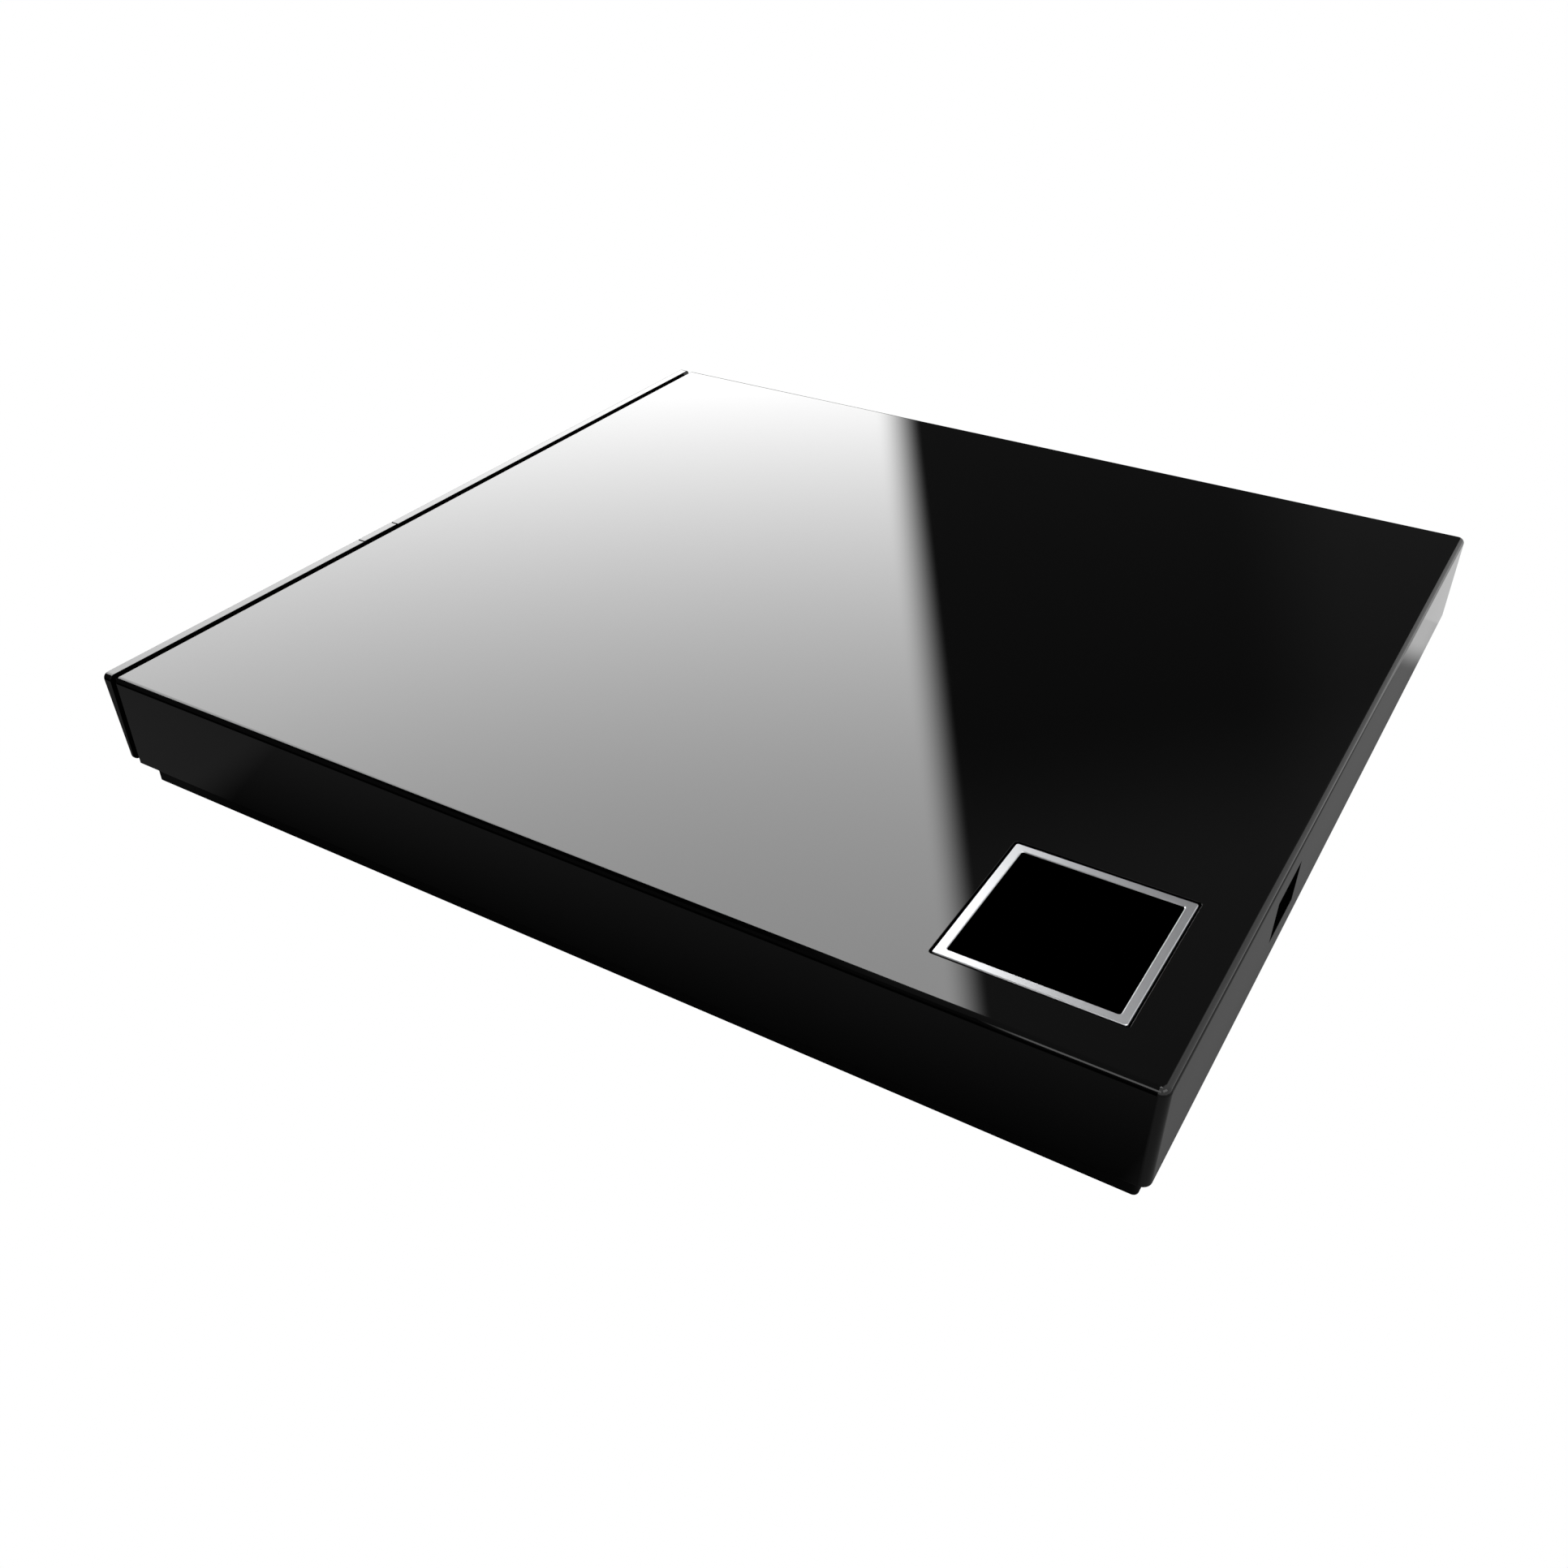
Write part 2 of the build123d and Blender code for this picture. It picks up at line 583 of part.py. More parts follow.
with BuildPart() as tray_bottom_plate:
    block((-body_x + 0.2, body_x - 0.2), (tray_front + 0.6, tray_rear - 0.5), plate_z)
    block(
        (lane_x - lane_half, lane_x + lane_half),
        (latch_post[1] - 2.5, tray_rear + 1),
        (plate_z[0] - 1, plate_z[1] + 1),
        Mode.SUBTRACT,
    )
    block(
        (ribbon_x[0] - 0.5, ribbon_x[1] + 0.5),
        (loop_front - 4.5, tail_up + 0.5),
        (plate_z[0] - 1, plate_z[1] + 1),
        Mode.SUBTRACT,
    )
save(tray_bottom_plate, "tray_bottom_plate")

with BuildPart() as tray_board:
    block(tray_board_x, tray_board_y, tray_board_z)
    post(tray_board_mounts, tray_board_z, 0.8, Mode.SUBTRACT)
save(tray_board, "tray_board")

with BuildPart() as tray_board_screws:
    screw(tray_board_mounts, tray_board_z[0], tray_board_z[1] + 2.0, 1.4, 0.5, 0.8)
save(tray_board_screws, "tray_board_screws")

board_mid = (tray_board_y[0] + tray_board_y[1]) / 2
chip_z = tray_board_z[1]
socket_z = chip_z + 0.4  # where the ribbon enters its socket
socket_x = (ribbon_x[0] - 0.5, ribbon_x[1] + 0.5)
with BuildPart() as tray_chips:
    block((-12.0, 0.0), (board_mid - 5.5, board_mid + 5.5), (chip_z, chip_z + 1.2))
    block((-26.0, -19.0), (board_mid - 3.5, board_mid + 3.5), (chip_z, chip_z + 0.9))
    block(socket_x, (tray_board_y[0], tray_board_y[0] + 3.0), (chip_z, chip_z + 1.6))
    for column in range(3):
        for row in (-1, 1):
            x_at = 4.0 + 2.4 * column
            y_at = board_mid + 3.5 * row
            block((x_at - 0.6, x_at + 0.6), (y_at - 0.4, y_at + 0.4), (chip_z, chip_z + 0.6))
save(tray_chips, "tray_chips")

with BuildPart() as flex_ribbon_tray:
    block(ribbon_x, (tail_start, tail_up), tail_z)
    block(ribbon_x, (tail_up, tail_up + ribbon), (tail_z[0], socket_z))
    block(ribbon_x, (tail_up + ribbon, tray_board_y[0]), (socket_z - ribbon, socket_z))
save(flex_ribbon_tray, "flex_ribbon_tray")

# ---------------------------------------------------------------------------------------- latch and ejector
lever_z = (drive_z + 2.8, drive_z + 4.0)
tooth_y = (latch_post[1] + 1.55, latch_post[1] + 3.7)
with BuildPart() as latch_lever:
    post(latch_pivot, lever_z, 2.4)
    block((latch_pivot[0] - 0.3, latch_pivot[0] + 2.1), (tooth_y[0], latch_pivot[1]), lever_z)
    block((latch_pivot[0] + 2.1, latch_post[0] + 0.2), tooth_y, lever_z)
    post(latch_pivot, (lever_z[0] - 1, lever_z[1] + 1), 1.0 + running, Mode.SUBTRACT)
save(latch_lever, "latch_lever")

with BuildPart() as latch_solenoid:
    block((28.0, 38.0), (latch_post[1] - 2.0, latch_post[1] + 8.0), (drive_z + 1.9, tray_under))
    rod((38.0, 44.0), latch_post[1] + 3.0, drive_z + 4.0, 1.0)
save(latch_solenoid, "latch_solenoid")

collar_y = (ejector_stop + 6.0, ejector_stop + 7.0)
pin_tip = drive_rear - sheet - 0.3
with BuildPart() as ejector_pin:
    bar((ejector_stop + 0.4, collar_y[0]), ejector_x, ejector_z, 0.85)
    bar(collar_y, ejector_x, ejector_z, 1.9)
    bar((collar_y[1], pin_tip), ejector_x, ejector_z, 1.2)
    fillet(faces().sort_by(Axis.Y)[-1].edges(), radius=0.5)
save(ejector_pin, "ejector_pin")

with BuildPart() as ejector_spring:
    bar((ejector_stop, collar_y[0]), ejector_x, ejector_z, 1.6)
    bar((ejector_stop - 1, collar_y[0] + 1), ejector_x, ejector_z, 1.0, Mode.SUBTRACT)
save(ejector_spring, "ejector_spring")

# ======================================================================================== traverse unit
rod_v = rod_spacing / 2
sled_u = (17.0, 31.5)
sled_v = rod_v + 2.5
chassis_end = sled_u[1] + sled_travel + 0.4
motor_v = -(rod_v + 5.5)
motor_z = drive_z + 4.1
rotor_base_r = 15.2
seat_long = 2.2
seat_u = (sled_u[0] - 0.4 - seat_long / 2, chassis_end + seat_long / 2)
rod_u = (seat_u[0] - 0.6, seat_u[1] + 0.6)

# The frame's plate is clipped parallel to the tray's walls, which stand at 45 degrees to it.
plate_back = 21.0
clip_at = (spindle_y - (hollow_y[0] + hollow_y[1]) / 2) / 2**0.5
clip_size = (hollow_y[1] - hollow_y[0] - 0.6, 2 * body_inner - 0.6)
with BuildPart() as traverse_chassis:
    with BuildSketch(traverse.offset(chassis_z[0])):
        with Locations(((chassis_end + 2.0 - plate_back) / 2, 2.7)):
            Rectangle(chassis_end + 2.0 + plate_back, 36.6)
        with Locations((1.0 - plate_back / 2, -18.0)):
            Rectangle(plate_back + 2.0, 6.0)
        with Locations((clip_at, clip_at)):
            Rectangle(clip_size[0], clip_size[1], rotation=45, mode=Mode.INTERSECT)
        Circle(rotor_base_r, mode=Mode.SUBTRACT)
        with Locations(*damper_places):
            Circle(3.0, mode=Mode.SUBTRACT)
        with Locations((8.0, motor_v)):
            Rectangle(9.6, 5.8, mode=Mode.SUBTRACT)
        with Locations(((sled_u[0] - 0.4 + chassis_end) / 2, 0)):
            Rectangle(chassis_end - sled_u[0] + 0.4, 2 * sled_v + 0.6, mode=Mode.SUBTRACT)
    extrude(amount=chassis_z[1] - chassis_z[0])
    with Locations(traverse):
        with Locations(*[(u, v, (chassis_z[1] + rod_z + 1.6) / 2) for u in seat_u for v in (-rod_v, rod_v)]):
            Box(seat_long, 3.6, rod_z + 1.6 - chassis_z[1])
        with Locations(*[((rod_u[0] + rod_u[1]) / 2, v, rod_z) for v in (-rod_v, rod_v)]):
            Cylinder(rod_r, rod_u[1] - rod_u[0], rotation=(0, 90, 0), mode=Mode.SUBTRACT)
save(traverse_chassis, "traverse_chassis")

with BuildPart(traverse) as chassis_dampers:
    post(damper_places, (chassis_z[0], drive_z + 4.6), 3.0)
    post(damper_places, (chassis_z[0] - 1, drive_z + 5.0), screw_r, Mode.SUBTRACT)
    post(damper_places, (chassis_z[0] - 1, chassis_z[0] + 0.7), 2.1, Mode.SUBTRACT)
save(chassis_dampers, "chassis_dampers")

with BuildPart(traverse) as chassis_screws:
    screw(damper_places, chassis_z[0] + 0.7, drive_z + 7.0, 1.9, 0.7, screw_r)
save(chassis_screws, "chassis_screws")

for rod_name, v in (("main", -rod_v), ("sub", rod_v)):
    with BuildPart(traverse) as guide_rod:
        rod(rod_u, v, rod_z, rod_r)
    save(guide_rod, f"guide_rod_{rod_name}")

core_z = (drive_z + 3.2, drive_z + 5.2)
tooth_count = 9
with BuildPart(spindle_plane) as spindle_stator:
    post((0, 0), (chassis_z[0], chassis_z[0] + 0.6), rotor_base_r)
    post((0, 0), (chassis_z[0] + 0.6, drive_z + 6.3), 2.6)
    post((0, 0), core_z, 4.6)
    with BuildSketch(spindle_plane.offset(core_z[0])):
        with PolarLocations(7.5, tooth_count):
            Rectangle(7.6, 1.2)
        with PolarLocations(11.4, tooth_count):
            Rectangle(1.2, 5.6)
    extrude(amount=core_z[1] - core_z[0])
    post((0, 0), (chassis_z[0] + 0.2, drive_z + 7), screw_r + running, Mode.SUBTRACT)
save(spindle_stator, "spindle_stator")

with BuildPart() as stator_coils:
    with BuildSketch(spindle_plane.offset(core_z[0] - 0.4)):
        with PolarLocations(7.9, tooth_count):
            Rectangle(4.6, 2.6)
    extrude(amount=core_z[1] - core_z[0] + 0.8)
    with BuildSketch(spindle_plane.offset(core_z[0])):
        with PolarLocations(7.5, tooth_count):
            Rectangle(7.6, 1.2)
    extrude(amount=core_z[1] - core_z[0], mode=Mode.SUBTRACT)
save(stator_coils, "stator_coils")

turntable_z = (drive_z + 7.0, disc_z - 0.6)
hub_top = disc_z + 1.8
claw_z = (disc_z + 0.2, disc_z + 1.2)
claw_gap = 0.2
claw_width = 2.4
claw_proud = 0.15  # how far a claw stands out of the hub
with BuildPart(spindle_plane) as spindle_rotor:
    post((0, 0), (drive_z + 2.6, turntable_z[0]), 13.4)
    post((0, 0), (drive_z + 2.0, turntable_z[0] - 0.4), 12.6, Mode.SUBTRACT)
    post((0, 0), (chassis_z[0] + 0.3, turntable_z[0]), screw_r)
    post((0, 0), turntable_z, 14.2)
    post((0, 0), (turntable_z[1], hub_top), hub_r)
    chamfer(faces().sort_by(Axis.Z)[-1].edges(), length=0.5)
    with BuildSketch(spindle_plane.offset(claw_z[0] - claw_gap)):
        with PolarLocations(6.2, 3):
            Rectangle(7.0, claw_width + 2 * claw_gap)
    extrude(amount=claw_z[1] - claw_z[0] + 2 * claw_gap, mode=Mode.SUBTRACT)
save(spindle_rotor, "spindle_rotor")

with BuildPart(spindle_plane) as turntable_ring:
    post((0, 0), (turntable_z[1], disc_z), 14.0)
    post((0, 0), (turntable_z[1] - 1, disc_z + 1), 11.2, Mode.SUBTRACT)
save(turntable_ring, "turntable_ring")

for number in range(3):
    turn = spindle_plane.rotated((0, 0, 120 * number))
    with BuildPart(turn) as chuck_claw:
        block((3.4, hub_r + claw_proud), (-claw_width / 2, claw_width / 2), claw_z)
        fillet(edges().filter_by(Axis.Z).sort_by_distance((0, spindle_y, disc_z))[-2:], radius=0.5)
    save(chuck_claw, f"chuck_claw_{number + 1}")

bracket_v = (motor_v - 1.4, motor_v + 1.1)
screw_end = chassis_end - 5.0
with BuildPart(traverse) as sled_motor:
    rod((3.5, 12.5), motor_v, motor_z, 2.7)
    block((2.5, screw_end + 0.8), bracket_v, (chassis_z[0], chassis_z[0] + 0.4))
    block((screw_end, screw_end + 0.8), bracket_v, (chassis_z[0], motor_z + 1.4))
    rod((screw_end - 1, screw_end + 2), motor_v, motor_z, 0.6 + running, Mode.SUBTRACT)
    rod((10.5, 13.5), motor_v, motor_z, 0.6 + running, Mode.SUBTRACT)
save(sled_motor, "sled_motor")

with BuildPart(traverse) as lead_screw:
    rod((12.8, screw_end - 0.3), motor_v, motor_z, screw_thread_r)
    rod((10.8, screw_end + 0.7), motor_v, motor_z, 0.6)
save(lead_screw, "lead_screw")

holder_u = (lens_start - 3.7, lens_start + 3.7)
holder_v = 5.2
holder_z = (drive_z + 5.5, drive_z + 7.4)
lens_places = [((lens_start, -2.4), 1.5), ((lens_start, 2.2), 2.0)]
well_u = (holder_u[0] - 0.8, holder_u[1] + 0.8)
well_v = (-holder_v - 0.8, holder_v + 0.8)
sled_cut_u = (sled_u[0] - 1, sled_u[1] + 1)
fork_half = rod_r + running
with BuildPart(traverse) as pickup_sled:
    block(sled_u, (-sled_v, sled_v), sled_z)
    chamfer(edges().filter_by(Axis.Z), length=1.5)
    # follower on the lead screw, well for the lens holder, bore and fork for the rods
    follower_v = (motor_v + screw_thread_r + running, -sled_v)
    block((sled_u[0] + 1.0, sled_u[0] + 8.0), follower_v, (motor_z - 1.3, motor_z + 1.3))
    block(well_u, well_v, (holder_z[0] - 0.6, sled_z[1]), Mode.SUBTRACT)
    rod(sled_cut_u, -rod_v, rod_z, rod_r + running, Mode.SUBTRACT)
    block(
        sled_cut_u,
        (rod_v - fork_half, sled_v + 1),
        (rod_z - fork_half, rod_z + fork_half),
        Mode.SUBTRACT,
    )
save(pickup_sled, "pickup_sled")

with BuildPart(traverse) as pickup_cover:
    block((sled_u[0] + 1.6, sled_u[1] - 1.6), (-11.0, 11.0), (sled_z[1], sled_z[1] + 0.2))
    block(well_u, well_v, (sled_z[1] - 1, sled_z[1] + 1), Mode.SUBTRACT)
save(pickup_cover, "pickup_cover")

with BuildPart(traverse) as lens_holder:
    block(holder_u, (-holder_v, holder_v), holder_z)
    fillet(edges().filter_by(Axis.Z), radius=0.8)
    for place, lens_r in lens_places:
        post(place, (holder_z[0] - 1, holder_z[1] + 1), lens_r, Mode.SUBTRACT)
save(lens_holder, "lens_holder")

with BuildPart(traverse) as objective_lenses:
    for place, lens_r in lens_places:
        post(place, (holder_z[1] - 0.8, holder_z[1] + 0.4), lens_r)
    fillet(faces().group_by(Axis.Z)[-1].edges(), radius=0.35)
save(objective_lenses, "objective_lenses")

# ======================================================================================== bridge electronics
receptacle_front = plug_y[1]
board_y = (receptacle_front + 0.6, y_wall - 1.2)
board_x = (connector_x[0] - 8.0, connector_x[1] + 8.0)
with BuildPart() as bridge_board:
    block(board_x, board_y, (board_z - 1.6, board_z))
    post(board_posts, (board_z - 2, board_z + 1), screw_r * 0.8, Mode.SUBTRACT)
save(bridge_board, "bridge_board")

with BuildPart() as board_screws:
    screw(board_posts, board_z, board_z - 1.6 - 3.5, 1.6, 1.0, screw_r * 0.8, up=False)
save(board_screws, "board_screws")

with BuildPart() as sata_receptacle:
    block(connector_x, (receptacle_front, receptacle_front + 7.5), connector_z)
save(sata_receptacle, "sata_receptacle")

usb_mouth = y_wall - usb_setback
usb_back = usb_mouth - 7.4
usb_x_range = (usb_x - usb_shell[0] / 2, usb_x + usb_shell[0] / 2)
usb_z_range = (usb_z - usb_shell[1] / 2, usb_z + usb_shell[1] / 2)
usb_metal = 0.4
cavity_x = (usb_x_range[0] + usb_metal, usb_x_range[1] - usb_metal)
cavity_z = (usb_z_range[0] + usb_metal, usb_z_range[1] - usb_metal)
with BuildPart() as usb_receptacle:
    block(usb_x_range, (usb_back, usb_mouth), usb_z_range)
    chamfer(edges().filter_by(Axis.Y).group_by(Axis.Z)[0], length=1.0)
    block((cavity_x[0] + 0.7, cavity_x[1] - 0.7), (usb_back, usb_mouth + 1), cavity_z, Mode.SUBTRACT)
    block(cavity_x, (usb_back, usb_mouth + 1), (cavity_z[0] + 1.1, cavity_z[1]), Mode.SUBTRACT)
save(usb_receptacle, "usb_receptacle")

with BuildPart() as usb_insulator:
    block((cavity_x[0] + 0.7, cavity_x[1] - 0.7), (usb_back, usb_back + 1.4), cavity_z)
    block((usb_x - 2.5, usb_x + 2.5), (usb_back + 1.4, usb_mouth - 0.6), (usb_z - 0.1, usb_z + 0.6))
save(usb_insulator, "usb_insulator")

chip_y = receptacle_front + 9.5
with BuildPart() as bridge_chips:
    block((usb_x - 3.0, usb_x + 6.0), (chip_y, chip_y + 8.0), (board_z, board_z + 1.2))
    block((usb_x + 10.0, usb_x + 15.0), (chip_y + 1.5, chip_y + 5.0), (board_z, board_z + 1.0))
    post((usb_x + 14.0, chip_y + 12.5), (board_z, board_z + 3.6), 2.4)
    post((usb_x + 20.0, chip_y + 8.0), (board_z, board_z + 3.6), 2.0)
    for step in range(4):
        x_at = usb_x - 12.0 + 2.6 * step
        block((x_at, x_at + 1.6), (chip_y + 9.0, chip_y + 9.8), (board_z, board_z + 0.6))
save(bridge_chips, "bridge_chips")
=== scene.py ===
"""Looks of a slim external disc drive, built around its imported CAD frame.

Lengths are metres in the part's own frame: +Z up, the tray opens towards -Y and +X is the right-hand side.
"""

import json
import logging
import math
from dataclasses import dataclass, field
from enum import Enum
from typing import Any

import bmesh
import bpy
from mathutils import Matrix, Vector

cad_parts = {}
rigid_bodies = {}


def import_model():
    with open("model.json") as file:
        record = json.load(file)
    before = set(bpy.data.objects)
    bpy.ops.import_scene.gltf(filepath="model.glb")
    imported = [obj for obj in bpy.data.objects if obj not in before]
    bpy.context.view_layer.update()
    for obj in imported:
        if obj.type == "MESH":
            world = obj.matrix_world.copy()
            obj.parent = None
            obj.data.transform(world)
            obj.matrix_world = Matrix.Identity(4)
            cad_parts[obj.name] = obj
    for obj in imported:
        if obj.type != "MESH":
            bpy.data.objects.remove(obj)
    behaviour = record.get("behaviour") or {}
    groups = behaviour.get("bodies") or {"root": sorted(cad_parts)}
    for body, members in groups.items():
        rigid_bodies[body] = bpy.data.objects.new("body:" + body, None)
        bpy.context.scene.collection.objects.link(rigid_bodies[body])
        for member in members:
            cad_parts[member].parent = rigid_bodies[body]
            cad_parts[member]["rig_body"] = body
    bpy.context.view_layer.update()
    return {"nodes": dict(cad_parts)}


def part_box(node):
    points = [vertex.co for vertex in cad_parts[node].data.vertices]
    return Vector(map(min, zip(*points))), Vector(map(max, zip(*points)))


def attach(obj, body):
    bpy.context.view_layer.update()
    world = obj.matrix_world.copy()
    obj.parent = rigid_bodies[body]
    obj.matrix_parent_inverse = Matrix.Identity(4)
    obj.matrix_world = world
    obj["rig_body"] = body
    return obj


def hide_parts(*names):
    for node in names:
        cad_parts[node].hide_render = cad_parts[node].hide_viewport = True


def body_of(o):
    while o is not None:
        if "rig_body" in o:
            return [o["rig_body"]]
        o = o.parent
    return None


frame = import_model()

MM = 0.001
IMAGE_SIDE = 1932.0
SENSOR = 36.0

logging.basicConfig(level=logging.INFO, format="%(name)s: %(message)s")
log = logging.getLogger("drive")


# ------------------------------------------------------------------------------------------ colour and nodes
def linear(hex_colour: str) -> tuple[float, float, float, float]:
    """Turn an sRGB hex colour into linear light.

    Args:
        hex_colour: A colour such as "#c8c9cc".

    Returns:
        Red, green, blue and an alpha of 1.
    """
    channels = [int(hex_colour[i : i + 2], 16) / 255 for i in (1, 3, 5)]
    lit = [c / 12.92 if c <= 0.04045 else ((c + 0.055) / 1.055) ** 2.4 for c in channels]
    return (lit[0], lit[1], lit[2], 1.0)


def add_node(tree: bpy.types.NodeTree, kind: str, inputs: dict | None = None, **settings: Any) -> bpy.types.Node:
    """Add a node with its settings, values and links.

    Args:
        tree: The node tree that gets the node.
        kind: Blender's name for the type of node.
        inputs: For each input's name or number, a value or the output socket to link.
        settings: The node's own properties.

    Returns:
        The new node.
    """
    node = tree.nodes.new(kind)
    for key, value in settings.items():
        setattr(node, key, value)
    for key, value in (inputs or {}).items():
        if isinstance(value, bpy.types.NodeSocket):
            tree.links.new(value, node.inputs[key])
        else:
            node.inputs[key].default_value = value
    return node


def ramp_between(tree: bpy.types.NodeTree, value: Any, start: float, end: float, low: float, high: float) -> Any:
    """Map a value smoothly from one range to another.

    Args:
        tree: The node tree to add to.
        value: The socket to map.
        start: The input at which the output is low.
        end: The input at which the output is high.
        low: The output at the start and before it.
        high: The output at the end and beyond it.

    Returns:
        The output socket.
    """
    # A smooth Map Range wants a rising input range, so a falling one is turned round.
    if start > end:
        start, end, low, high = end, start, high, low
    limits = {"Value": value, 1: start, 2: end, 3: low, 4: high}
    return add_node(tree, "ShaderNodeMapRange", limits, interpolation_type="SMOOTHSTEP").outputs[0]


def combine(tree: bpy.types.NodeTree, operation: str, *values: Any) -> Any:
    """Fold numbers and sockets with one math operation, from left to right.

    Args:
        tree: The node tree to add to.
        operation: Blender's name for the operation.
        values: What to fold, at least two.

    Returns:
        The output socket.
    """
    total = values[0]
    for value in values[1:]:
        total = add_node(tree, "ShaderNodeMath", {0: total, 1: value}, operation=operation).outputs[0]
    return total


# ------------------------------------------------------------------------------------------ finishes
class Pattern(Enum):
    """How a surface was made, which gives it its fine pattern."""

    POLISHED = "moulded against a polished tool"
    SPARKED = "moulded against a spark-eroded tool"
    BRUSHED = "brushed along its length"
    SPANGLED = "zinc-coated sheet"
    CAST = "die-cast and shot-blasted"
    PRINTED = "solder mask over copper tracks"
    STRIPED = "flat conductors between films"


@dataclass(frozen=True)
class Finish:
    """A surface finish and the numbers that make its material."""

    name: str
    colour: str
    pattern: Pattern = Pattern.SPARKED
    metallic: float = 0.0
    roughness: float = 0.5
    swing: float = 0.06
    ior: float = 1.5
    specular: float = 0.5
    grain: float = 0.4
    depth: float = 0.006
    shade: str = ""
    shade_share: float = 0.3
    along: tuple[float, float, float] = (1.0, 1.0, 1.0)
    edge: float = 0.12
    transmission: float = 0.0
    coat: float = 0.0

    def pattern_value(self, tree: bpy.types.NodeTree, place: Any) -> Any:
        """Add the nodes of the pattern.

        Args:
            tree: The material's node tree.
            place: The socket that gives the place on the surface, in metres.

        Returns:
            A socket that runs from 0 to 1 over the pattern.
        """
        scale = 1.0 / (self.grain * MM)
        stretched = add_node(tree, "ShaderNodeMapping", {"Vector": place, "Scale": self.along}).outputs[0]
        if self.pattern is Pattern.SPANGLED:
            cells = {"Vector": stretched, "Scale": scale, "Randomness": 1.0}
            cell = add_node(tree, "ShaderNodeTexVoronoi", cells, feature="F1").outputs["Color"]
            return add_node(tree, "ShaderNodeSeparateColor", {0: cell}).outputs[0]
        if self.pattern is Pattern.PRINTED:
            cells = {"Vector": stretched, "Scale": scale, "Randomness": 0.7}
            gap = add_node(tree, "ShaderNodeTexVoronoi", cells, feature="DISTANCE_TO_EDGE").outputs[0]
            return ramp_between(tree, gap, 0.06, 0.1, 1.0, 0.0)
        if self.pattern is Pattern.STRIPED:
            # One wave of this texture is 2 pi / 20 long at scale 1.
            waves = {"Vector": stretched, "Scale": math.tau / 20 * scale, "Distortion": 0.0}
            return add_node(tree, "ShaderNodeTexWave", waves, bands_direction="X").outputs[1]
        detail = 5.0 if self.pattern is Pattern.CAST else 2.0
        cloud = {"Vector": stretched, "Scale": scale, "Detail": detail, "Roughness": 0.55}
        return add_node(tree, "ShaderNodeTexNoise", cloud).outputs[0]

    def build(self) -> bpy.types.Material:
        """Make the material.

        Returns:
            The material, with its pattern in colour, roughness and height.
        """
        material = bpy.data.materials.new(self.name)
        material.use_nodes = True
        tree = material.node_tree
        tree.nodes.clear()
        place = add_node(tree, "ShaderNodeTexCoord").outputs["Object"]
        value = self.pattern_value(tree, place)
        constants = {
            "Metallic": self.metallic,
            "IOR": self.ior,
            "Specular IOR Level": self.specular,
            "Transmission Weight": self.transmission,
            "Coat Weight": self.coat,
            "Coat Roughness": 0.04,
        }
        low, high = max(self.roughness - self.swing, 0.0), self.roughness + self.swing
        rough = add_node(tree, "ShaderNodeMapRange", {"Value": value, 1: 0.25, 2: 0.75, 3: low, 4: high})
        tone = {
            "Factor": combine(tree, "MULTIPLY", value, self.shade_share),
            6: linear(self.colour),
            7: linear(self.shade or self.colour),
        }
        colour = add_node(tree, "ShaderNodeMix", tone, data_type="RGBA")
        normal: dict[str, Any] = {}
        if self.edge:
            # Real edges are broken by a small radius, which catches a thin line of light.
            normal["Normal"] = add_node(tree, "ShaderNodeBevel", {"Radius": self.edge * MM}, samples=4).outputs[0]
        if self.depth:
            bump = {"Height": value, "Distance": self.depth * MM, "Strength": 1.0, **normal}
            normal["Normal"] = add_node(tree, "ShaderNodeBump", bump).outputs[0]
        links = {"Base Color": colour.outputs[2], "Roughness": rough.outputs[0], **normal}
        surface = add_node(tree, "ShaderNodeBsdfPrincipled", {**constants, **links})
        add_node(tree, "ShaderNodeOutputMaterial", {"Surface": surface.outputs[0]})
        return material


# High-gloss ABS, moulded against a polished tool: black that shows only what it mirrors.
PIANO_BLACK = Finish(
    "piano_black_abs", "#020202", Pattern.POLISHED, roughness=0.02, swing=0.008, grain=18, depth=0, edge=0.09
)
# Black ABS from a spark-eroded tool: a fine dull grain that hides finger marks under the case.
SPARKED_BLACK = Finish("sparked_black_abs", "#020202", roughness=0.6, specular=0.12, grain=0.35, depth=0.01, edge=0)
# Printed acrylic with an anti-reflection coat: the emblem's blank field stays black at any angle.
BLACK_ACRYLIC = Finish(
    "coated_black_acrylic", "#000000", Pattern.POLISHED, roughness=0.05, swing=0.01, specular=0.0, depth=0, edge=0
)
# Bright brushed aluminium: silver with fine lines that spread each highlight along the frame.
BRUSHED_ALUMINIUM = Finish(
    "brushed_aluminium",
    "#d2d3d5",
    Pattern.BRUSHED,
    metallic=1.0,
    roughness=0.3,
    swing=0.02,
    grain=0.12,
    depth=0,
    shade="#c3c5c8",
    along=(0.06, 1.0, 1.0),
    edge=0.08,
)
# Thermoplastic rubber: dead matt and slightly grey where it is handled.
RUBBER = Finish("moulded_rubber", "#151515", roughness=0.85, grain=0.3, depth=0.012, shade="#232323", edge=0)
# Black closed-cell foam put in the seams as painted shade: it swallows light, so a seam over it reads as a black line.
SEAM_SHADE_FILLER = Finish("black_seam_shade_filler", "#010101", roughness=0.95, specular=0.02, grain=0.2, depth=0.02, edge=0)
# Electro-galvanised steel sheet: cool grey with a faint patchwork of crystals.
ZINC_SHEET = Finish(
    "zinc_coated_sheet",
    "#a9acb0",
    Pattern.SPANGLED,
    metallic=1.0,
    roughness=0.36,
    swing=0.07,
    grain=1.6,
    depth=0.0006,
    shade="#8f9398",
    shade_share=0.5,
)
